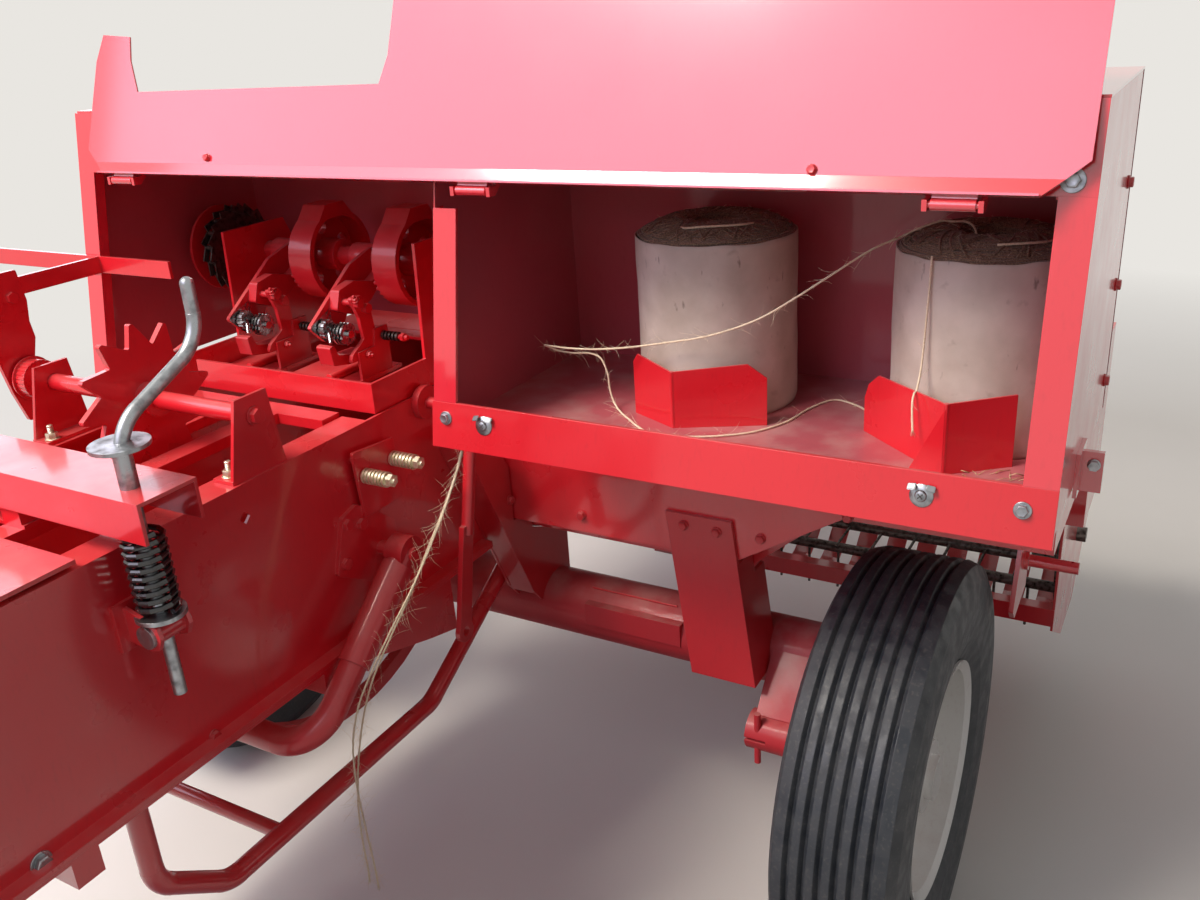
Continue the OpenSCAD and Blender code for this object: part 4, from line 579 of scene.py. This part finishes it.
def hairs(mesh, line, every_mm, longest_mm, seed):
    """Loose fibres that stand off a strand of twine."""
    pick = random.Random(seed)
    travelled = 0.0
    due = pick.uniform(0, every_mm) * MM
    for i, (p, u, v) in enumerate(along(line)):
        if i:
            travelled += (p - line[i - 1]).length
        if travelled < due or i in (0, len(line) - 1):
            continue
        due += pick.uniform(0.3, 1.7) * every_mm * MM
        ahead = u.cross(v)
        angle = pick.uniform(0, math.tau)
        out = u * math.cos(angle) + v * math.sin(angle)
        lean = ahead * pick.choice((-1, 1))
        reach = pick.uniform(0.25, 1.0) ** 1.6 * longest_mm * MM
        curl = Vector((pick.uniform(-1, 1), pick.uniform(-1, 1), pick.uniform(-1.2, 0.5)))
        stem = [p + lean * (reach * t) + out * (reach * 0.75 * t * t + 0.9 * MM)
                + curl * (reach * 0.3 * t ** 3) for t in (0, 0.25, 0.5, 0.75, 1.0)]
        tube(mesh, stem, Round(0.3 * MM, 3, 5, 0.4))


fibres = bmesh.new()
for name, every_mm, longest_mm, seed in (
        ("twine_to_guide", 5, 30, 3), ("twine_strand_near", 3, 40, 5),
        ("twine_strand_far", 3, 34, 8), ("twine_loose_end", 16, 22, 9)):
    hairs(fibres, lines[name], every_mm, longest_mm, seed)
# Cut ends fan out like a brush
for name, seed in (("twine_loose_end", 21), ("twine_strand_near", 22), ("twine_strand_far", 23)):
    pick = random.Random(seed)
    tip, back = lines[name][-1], lines[name][-6]
    ahead = (tip - back).normalized()
    for _ in range(26):
        spread = Vector((pick.gauss(0, 0.2), pick.gauss(0, 0.2), pick.gauss(0, 0.12)))
        reach = pick.uniform(5, 14) * MM
        root = back + Vector((pick.gauss(0, 0.5), pick.gauss(0, 0.5), 0)) * MM
        tube(fibres, [root, root + (ahead + spread * 0.5) * reach * 0.6,
                      root + (ahead + spread) * reach * 1.2], Round(0.24 * MM, 3, 3, 0.5))
piece("twine_fibres", fibres, TWINE, "frame")


# Balls of twine: a paper wrapper round the windings, which stand above its upper edge
BALL_FLOOR = 1010.3
BALL_R = 125.0
BALL_H = 288.0
# Height of the wrapper's upper edge, radius where the top starts to fall off, and the bore
WRAPPER_H = BALL_H - 24
SHOULDER_R = 58
BORE_R = 36.5


def ball(name, node, x, y, seed):
    """A ball that stands on the box's floor at x and y, and replaces its plain CAD node."""
    pick = random.Random(seed)
    drift = Vector((seed * 3.1, seed * 1.7, 0))

    def wall(angle, height):
        """Radius of the wrapper, a little out of round, with soft dents."""
        across, ahead = math.cos(angle), math.sin(angle)
        bend = noise.noise(Vector((across * 1.3, ahead * 1.3, height * 3)) + drift)
        dent = noise.noise(Vector((across * 4, ahead * 4, height * 9)) - drift)
        return BALL_R - 1.4 + 1.3 * bend + 0.5 * dent

    mesh = bmesh.new()
    around, up = 160, 40
    rings = []
    for j in range(up + 1):
        ring = []
        for i in range(around):
            a = math.tau * i / around
            edge = 2.4 * noise.noise(Vector((math.cos(a) * 3, math.sin(a) * 3, seed)))
            h = j / up * (WRAPPER_H + edge)
            pull = 2.0 * (1 - min(h / 9, 1)) ** 2
            r = wall(a, h / BALL_H) - pull
            ring.append(mesh.verts.new(at(x + r * math.cos(a), y + r * math.sin(a),
                                          BALL_FLOOR + h)))
        rings.append(ring)
    # The edge turns in over the windings
    for drop, inset in ((0.4, 1.0), (-1.2, 2.2)):
        rings.append([mesh.verts.new(
            v.co + (at(x, y, v.co.z / MM) - v.co).normalized() * inset * MM
            + Vector((0, 0, drop * MM))) for v in rings[up]])
    for one, two in zip(rings, rings[1:]):
        for i in range(around):
            n = (i + 1) % around
            mesh.faces.new((one[i], one[n], two[n], two[i]))
    mesh.faces.new(rings[0][::-1])
    wrapper = piece(name + "_wrapper", mesh, PAPER, "frame")

    # Windings: rings of twine over the domed shoulder down into the bore
    def dome(radius):
        fall = max(0, (radius - SHOULDER_R) / (BALL_R - SHOULDER_R - 5)) ** 2
        dip = max(0, (SHOULDER_R - radius) / 14) ** 2
        return WRAPPER_H + 21 * (1 - fall) - 3 * dip

    mesh = bmesh.new()
    core = [(BALL_R - 6, WRAPPER_H - 30)]
    core += [(r, dome(r) - 1.5) for r in (118, 112, 104, 94, 80, 62, 46)]
    core += [(37, WRAPPER_H + 12), (36, WRAPPER_H - 60), (0, WRAPPER_H - 60)]
    lathed(mesh, [(r * MM, h * MM) for r, h in core], at(x, y, BALL_FLOOR), (0, 0, 1), 64)
    rings = [(BALL_R - 5.5 - 3.5 * k, dome(BALL_R - 5.5 - 3.5 * k) - 0.4) for k in range(24)]
    rings += [(BORE_R, WRAPPER_H + 8 - 7 * k) for k in range(4)]
    for radius, height in rings:
        phase, tilt = pick.uniform(0, math.tau), pick.uniform(0.2, 1.4)
        wobble = pick.uniform(0.6, 2.6)
        count = max(48, int(radius * 1.4))
        points = []
        for i in range(count):
            a = math.tau * i / count
            r = radius + wobble * math.sin(2 * a + phase) * 0.5 + pick.uniform(-0.25, 0.25)
            points.append(at(x + r * math.cos(a), y + r * math.sin(a),
                             BALL_FLOOR + height + tilt * math.sin(a * 3 + phase)))
        tube(mesh, points, Round(1.9 * MM, 6), closed=True)
    # Strands that cross the top the way the ball was wound
    for k in range(30):
        a = pick.uniform(0, math.tau)
        span = pick.uniform(0.9, 2.1)
        points = []
        for i in range(22):
            t = i / 21
            b = a + span * t
            r = 40 + (BALL_R - 52) * abs(2 * t - 1) ** 1.3
            points.append(at(x + r * math.cos(b), y + r * math.sin(b),
                             BALL_FLOOR + dome(r) + 1.6 + 0.6 * math.sin(9 * t + k)))
        tube(mesh, points, Round(1.6 * MM, 6))
    piece(name + "_windings", mesh, WOUND, "frame")
    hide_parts(node)
    # Loose fibres on the top
    fuzz = bmesh.new()
    for _ in range(90):
        a, r = pick.uniform(0, math.tau), pick.uniform(40, BALL_R - 4)
        root = at(x + r * math.cos(a), y + r * math.sin(a), BALL_FLOOR + dome(r) + 2)
        lean = Vector((pick.uniform(-1, 1), pick.uniform(-1, 1), pick.uniform(0, 0.25)))
        reach = pick.uniform(6, 20) * MM
        tube(fuzz, [root, root + lean * reach * 0.5 + Vector((0, 0, 1.2 * MM)),
                    root + lean * reach], Round(0.22 * MM, 3, 3, 0.5))
    piece(name + "_fuzz", fuzz, TWINE, "frame")


ball("ball_right", "twine_ball_right", 97, -14, 4)
ball("ball_left", "twine_ball_left", -308, -4, 11)

# Loose turns that lie on the tops
loose = bmesh.new()
for route in ([(-330, -84, 1293), (-316, -92, 1294), (-290, -92, 1297), (-262, -84, 1298),
               (-240, -64, 1297), (-232, -42, 1295)],
              [(120, -100, 1292), (140, -98, 1294), (162, -86, 1294), (178, -62, 1292),
               (184, -34, 1290), (176, -8, 1292)]):
    line = smooth_line([at(*p) for p in route], TWINE_STEP)
    tube(loose, line, Laid(1.7 * MM, TWINE_STEP))
piece("loose_top_strands", loose, TWINE, "frame")


# Finishes of the CAD nodes. The places that follow repeat those of the part's source, in
# millimetres from the ground under the right wheel.
SIDE_RIGHT_X, SIDE_LEFT_X = -805, -1275
HOOD_FRONT_Y, HOOD_LEFT_X = 150, -1447
BOX_RIGHT_X, BOX_LEFT_X, BOX_FRONT_Y, BOX_FLOOR_Z = 242, -647, 132, 1010
SCREW_XS, SCREW_Y, TRUNNION_Z, THREAD_TOP = (-760, -1320), -765, 890, 872
KNOTTER_XS, KNOTTER_Z = (-940, -1140), 1195
# Y and Z of the two spring bolts on each side of the chamber
SPRING_BOLTS = ((-330, 921), (-260, 924))

for name in nodes:
    repaint(name, RED)
for finish, names in (
        (CAST_RED, ("feeder_fork", "gearbox", "hitch_clevis", "needle_rod", "axle_legs",
                    "needle_yoke")),
        (AXLE_RED, ("axle",)),
        (LID_RED, ("lid",)),
        (RUBBER, ("tyre_right", "tyre_left")),
        (WHITE, ("rim_right", "rim_left")),
        (ZINC, ("jack_leg",)),
        (SPRING_BLACK, ("tension_springs",)),
        (POLYETHYLENE, ("shaft_guard",)),
        (DARK_STEEL, ("drive_shaft", "pickup_reel")),
        (SLIDING, ("plunger",))):
    for name in names:
        repaint(name, finish)
# Inner faces of the hood and the box, in the red with painted haze and chaff dust
repaint("hood_roof", LID_RED, (HAZE_PAINTED_RED, lambda p: on(p.y, HOOD_FRONT_Y)))
repaint("hood_posts", LID_RED, (HAZE_PAINTED_RED, lambda p: on(p.x, HOOD_LEFT_X)))
repaint("twine_box", RED, (HAZE_PAINTED_RED, lambda p: (
    on(p.x, BOX_RIGHT_X) or on(p.x, BOX_LEFT_X) or on(p.y, BOX_FRONT_Y) or on(p.z, BOX_FLOOR_Z))))
# Pin ends and spring seats of the forks, and the greased thread below them
repaint("tension_beams", RED,
        (ZINC, lambda p: abs(p.y - SCREW_Y) > 26.5 and any(
            math.hypot(p.x - x, p.z - TRUNNION_Z) < 16.5 for x in SCREW_XS)),
        (ZINC, lambda p: 908.5 < p.z < 915.5 and any(
            math.hypot(p.x - x, p.y - SCREW_Y) < 34 for x in SCREW_XS)))
for name in ("tension_screw_right", "tension_screw_left"):
    repaint(name, ZINC, (THREAD, lambda p: p.z < THREAD_TOP))
# Bright pinion, twine discs and bill hook of each knotter, and the coils of its spring
for name, x in zip(("knotter_right", "knotter_left"), KNOTTER_XS):
    repaint(name, CAST_RED,
            (TURNED, lambda p, x=x: (
                within(p, -170, KNOTTER_Z - 90, 22, x - 51, x - 35)
                or within(p, -148, KNOTTER_Z - 103, 25, x - 35.5, x - 9.5)
                or (x - 44 < p.x < x - 12 and -195 < p.y < -172 and 1082 < p.z < 1107))),
            (DARK_STEEL, lambda p, x=x: within(p, -80, KNOTTER_Z - 122, 8.9, x + 5.5, x + 43)))
# Chain wheel at the left end of the knotter shaft
repaint("knotter_shaft", CAST_RED, (DARK_STEEL, lambda p: (
    -1367 < p.x < -1341 and math.hypot(p.y, p.z - KNOTTER_Z) > 24)))
for name, side_x, out in (("chamber_side_right", SIDE_RIGHT_X, 1),
                          ("chamber_side_left", SIDE_LEFT_X, -1)):
    repaint(name, RED, (YELLOW_ZINC, lambda p, side_x=side_x, out=out: (
        (p.x - side_x) * out > 14.5
        and any(math.hypot(p.y - y, p.z - z) < 14 for y, z in SPRING_BOLTS))))


# Bolts, turn-buttons and welds
RIGHT, LEFT, REAR, UP = (1, 0, 0), (-1, 0, 0), (0, -1, 0), (0, 0, 1)
# The front of the box's rail leans back, so its outward way and its rising way lean too
LEAN = Vector((0, -0.983, 0.182))
LEAN_UP = Vector((0, 0.182, 0.983))
zinc_bolts, yellow_bolts, red_bolts, shade_crosses = (bmesh.new() for _ in range(4))
for x, y, z, across, washer in ((208, -312.2, 1032, 13, 21), (-624, -311.5, 1036, 13, 21),
                                (218, -245, 1397, 15, 27)):
    bolt(zinc_bolts, at(x, y, z), LEAN, across, 5.5, washer)
slab(red_bolts, at(222, -244.4, 1394), LEAN, LEAN_UP, (40, 38, 1.6))


def turn_button(seat):
    """A dished washer with a cross-head screw and two bent ears. Its cross recess is two thin dark
    blades on the head, which are painted shade.
    """
    across = Vector(RIGHT)
    lathed(zinc_bolts, [(0, 0), (14.5 * MM, 0), (14.5 * MM, 1.2 * MM), (12 * MM, 3 * MM),
                        (7.4 * MM, 3.6 * MM)], seat, LEAN, 40)
    lathed(zinc_bolts, [(7 * MM, 3 * MM), (7 * MM, 5 * MM), (6 * MM, 6.4 * MM),
                        (3 * MM, 7.2 * MM), (0, 7.3 * MM)], seat, LEAN, 24)
    # Two thin dark blades on the head stand for the shade in the cross recess: painted shade
    for turn in (45, 135):
        a = math.radians(turn)
        blade = LEAN_UP * math.sin(a) + across * math.cos(a)
        slab(shade_crosses, seat + LEAN * 7.2 * MM, LEAN, blade, (1.6, 8.5, 0.5))
    for side in (-1, 1):
        ear = (LEAN + LEAN_UP * 0.75 + Vector((side * 0.35, 0, 0))).normalized()
        level = across - ear * ear.x
        root = seat + LEAN * 6 * MM + LEAN_UP * 11 * MM + Vector((side * 11.5 * MM, 0, 0))
        slab(zinc_bolts, root, ear, ear.cross(level), (11, 9, 1.8))


turn_button(at(92, -312.3, 1031))
turn_button(at(-554, -312, 1033))
# The side's low bolt, the catch's bolt, and the nuts on the star wheel's feet
bolt(zinc_bolts, at(SIDE_RIGHT_X, -978, 660), RIGHT, 19, 8, 30)
bolt(zinc_bolts, at(264, -138, 1028), REAR, 13, 5, 16)
for x in (-833, -1240):
    bolt(yellow_bolts, at(x, -556, 1006), UP, 17, 9, 24, 10, 13)
# Painted bolts of the box's back sheet, the legs and the chamber's sides
for x, y, z, axis in ((-379, -8, 761, REAR), (-317, -8, 759, REAR), (-590, 0, 737, REAR),
                      (-240, 0, 758, REAR), (-92, 0, 826, REAR), (-742, -11, 747, RIGHT),
                      (SIDE_RIGHT_X, -700, 660, RIGHT), (SIDE_LEFT_X, -978, 660, LEFT),
                      (SIDE_LEFT_X, -700, 660, LEFT)):
    bolt(red_bolts, at(x, y, z), axis, 14, 6, 19)
# Bolts of the knotters' sleeves and breast plates
for x in KNOTTER_XS:
    bolt(red_bolts, at(x + 6, -138, 1151), (0, -0.5, 0.866), 11, 5, 14, 6, 5)
    bolt(red_bolts, at(x + 3, -124, 1049), RIGHT, 11, 5, 14, 6, 5)
# Bead along the patch on the axle
weld(red_bolts, [at(-640, 101, 522), at(-600, 100, 522.5), at(-540, 102, 521.5),
                 at(-500, 100, 522.5), at(-452, 101, 522)], 5)
piece("zinc_bolts", zinc_bolts, ZINC, "frame", sharp=True)
piece("yellow_bolts", yellow_bolts, YELLOW_ZINC, "frame", sharp=True)
piece("painted_bolts", red_bolts, CAST_RED, "frame", sharp=True)
# The dark blades of the cross recesses: painted shade
piece("screw_crosses_painted_shade", shade_crosses, DARK_STEEL, "frame", sharp=True)

# The open lid: its lower edge lies at LID_EDGE, and the sheet rises and leans forwards
LID_RISE, LID_RUN = 0.948, 0.317
LID_EDGE_Y, LID_EDGE_Z = -272, 1372
LID_OUT = Vector((0, -LID_RISE, LID_RUN))


def on_lid(x, up, out=0.0):
    """A point of the open lid, millimetres up from its lower edge and out from its sheet."""
    foot = at(x, LID_EDGE_Y + LID_RUN * up, LID_EDGE_Z + LID_RISE * up)
    return foot + LID_OUT * out * MM


lid_bolts = bmesh.new()
for x, up in ((-1095, 40), (-68, 36)):
    bolt(lid_bolts, on_lid(x, up, 1.4), LID_OUT, 10, 4, 13)
piece("lid_bolts", lid_bolts, CAST_RED, "lid", sharp=True)

# Small bolts seated on the sheets that the lines from these points meet
sheet_bolts = bmesh.new()
for name, ahead, spots in (
        ("hood_roof", REAR, [(x, 500, 1452) for x in range(-1385, 220, 262)]
         + [(x, 500, z) for x in (-1385, 187) for z in (1150, 1300)]),
        ("hood_posts", RIGHT, [(-1800, 110, z) for z in (1060, 1200, 1340)]),
        ("twine_box", LEFT, [(600, 105, z) for z in (1060, 1200, 1340)]),
        ("chamber_side_left", RIGHT, [(-1700, y, z) for y in (-1405, -1150, -850, -550)
                                      for z in (560, 960)]),
        ("chamber_side_right", LEFT, [(-500, -1405, z) for z in (560, 960)])):
    for spot in spots:
        seat, out = landing(name, at(*spot), ahead)
        if seat is not None and out.dot(Vector(ahead)) < -0.9:
            bolt(sheet_bolts, seat, out, 13, 5, 18)
piece("sheet_bolts", sheet_bolts, CAST_RED, "frame", sharp=True)

# Hem of the lid: its lower edge is kinked outwards, so it catches the key lamp. Each row
# runs from one x to another, at a height on the lid and a distance off its sheet.
hem = bmesh.new()
rows = [[hem.verts.new(on_lid(x, up, out)) for x in (x_from, x_to)]
        for x_from, x_to, up, out in ((-1374, 213, 30, 1.6), (-1353, 190, 10.6, 5.2),
                                      (-1353, 190, 9.9, 4.4), (-1353, 190, 9.9, 0),
                                      (-1374, 213, 30, 0))]
for one, two in zip(rows, rows[1:] + rows[:1]):
    hem.faces.new((one[0], one[1], two[1], two[0]))
for end in (0, 1):
    hem.faces.new([row[end] for row in rows])
piece("lid_hem", hem, LID_RED, "lid", sharp=True)

# Chaff in the corner of the twine box
chaff = bmesh.new()
pick = random.Random(31)
for _ in range(46):
    foot = at(pick.uniform(118, 236), pick.uniform(-292, -150), 1010.6)
    reach = Vector((pick.uniform(-1, 1), pick.uniform(-1, 1), 0)).normalized()
    reach *= pick.uniform(8, 34) * MM
    rise = Vector((0, 0, pick.uniform(0.5, 4) * MM))
    tube(chaff, [foot, foot + reach * 0.5 + rise, foot + reach + rise * 0.3],
         Round(pick.uniform(0.4, 0.9) * MM, 5, 3, 0.6))
piece("chaff", chaff, STRAW, "frame")


# Stage and lamps
BACKDROP = "#E9E6E1"


def looked_at(tree):
    """1 for what the eye or a reflection sees, 0 for the light that a surface gathers."""
    ray = add(tree, "ShaderNodeLightPath")
    return add(tree, "ShaderNodeMath",
               (ray.outputs["Is Camera Ray"], ray.outputs["Is Glossy Ray"]),
               operation="MAXIMUM").outputs["Value"]


def studio_floor_paint():
    # Matt studio floor paint, with faint patches of wear
    material, tree, shader, where = start("matt_floor_paint", IOR=1.45, Roughness=0.7)
    pale = layer(tree, "#D8D5D0", "#D2CFC9", grain(tree, where, 900, 4), 0.35, 0.7)
    seen = looked_at(tree)
    # It looks pale, and throws up as little light as the ground that the baler works on
    tree.links.new(layer(tree, "#55514D", pale, seen, 0, 1), shader.inputs["Base Color"])
    # Far from the baler it turns into the backdrop
    away = add(tree, "ShaderNodeVectorMath", (where,), operation="LENGTH").outputs["Value"]
    far = add(tree, "ShaderNodeMapRange", (away, 2.2, 4.6)).outputs["Result"]
    share = add(tree, "ShaderNodeMath", (far, seen), operation="MULTIPLY").outputs["Value"]
    paper = add(tree, "ShaderNodeEmission", (linear(BACKDROP), 1.0)).outputs["Emission"]
    blend = add(tree, "ShaderNodeMixShader", (share, shader.outputs["BSDF"], paper))
    tree.links.new(blend.outputs["Shader"], tree.nodes["Material Output"].inputs["Surface"])
    return material


def stage_floor():
    """A wide plain floor at ground level."""
    half = 12
    data = bpy.data.meshes.new("floor")
    data.from_pydata([(-half, -half, 0), (half, -half, 0), (half, half, 0), (-half, half, 0)],
                     [], [(0, 1, 2, 3)])
    data.materials.append(studio_floor_paint())
    floor = bpy.data.objects.new("floor", data)
    bpy.context.collection.objects.link(floor)


def studio_world():
    """Even light on every surface, and a pale backdrop for the eye and reflections."""
    world = bpy.data.worlds.new("world")
    bpy.context.scene.world = world
    world.use_nodes = True
    tree = world.node_tree
    even = tree.nodes["Background"]
    even.inputs["Color"].default_value = linear("#FFFFFF")
    even.inputs["Strength"].default_value = 0.32
    pale = add(tree, "ShaderNodeBackground", (linear(BACKDROP), 1.0))
    both = add(tree, "ShaderNodeMixShader",
               (looked_at(tree), even.outputs["Background"], pale.outputs["Background"]))
    tree.links.new(both.outputs["Shader"], tree.nodes["World Output"].inputs["Surface"])


def lamp(name, place_mm, aim_mm, width, height, radiance, tint="#FFFFFF"):
    """A soft rectangular lamp, its sides in metres. Its power comes from how bright its face
    looks, which is its radiance."""
    data = bpy.data.lights.new(name, "AREA")
    data.shape = "RECTANGLE"
    data.size, data.size_y = width, height
    data.energy = math.pi * width * height * radiance
    data.color = linear(tint)[:3]
    made = bpy.data.objects.new(name, data)
    origin, aim = at(*place_mm), at(*aim_mm)
    made.matrix_world = (Matrix.Translation(origin)
                         @ (aim - origin).to_track_quat("-Z", "Y").to_matrix().to_4x4())
    bpy.context.collection.objects.link(made)
    made.visible_camera = False


stage_floor()
studio_world()
# The large panel stands to the left and behind, where the open lid mirrors it to the camera
lamp("panel", (-2700, -3900, 3700), (-500, -300, 1000), 5.6, 2.7, 2.75, "#E6E0FF")
# The key comes over the left shoulder, so that the box shades what is under it
lamp("key", (-2600, -3200, 5450), (-300, -200, 1000), 1.9, 1.9, 33.0, "#FFF6EA")
# A wide, weak light from high in front
lamp("sky", (-2600, 3400, 5200), (-400, 200, 800), 5.0, 3.0, 0.6)
# A low panel in front gives the level sheets their glare
lamp("sheen", (-5600, 3300, 3000), (-1000, -700, 1000), 5.0, 2.5, 2.0, "#EEEAFF")
# A trace of light on the right side and the tyre
lamp("fill", (4200, -2400, 2600), (0, 0, 700), 3.0, 2.5, 0.04)
bpy.context.scene.view_settings.view_transform = "Standard"
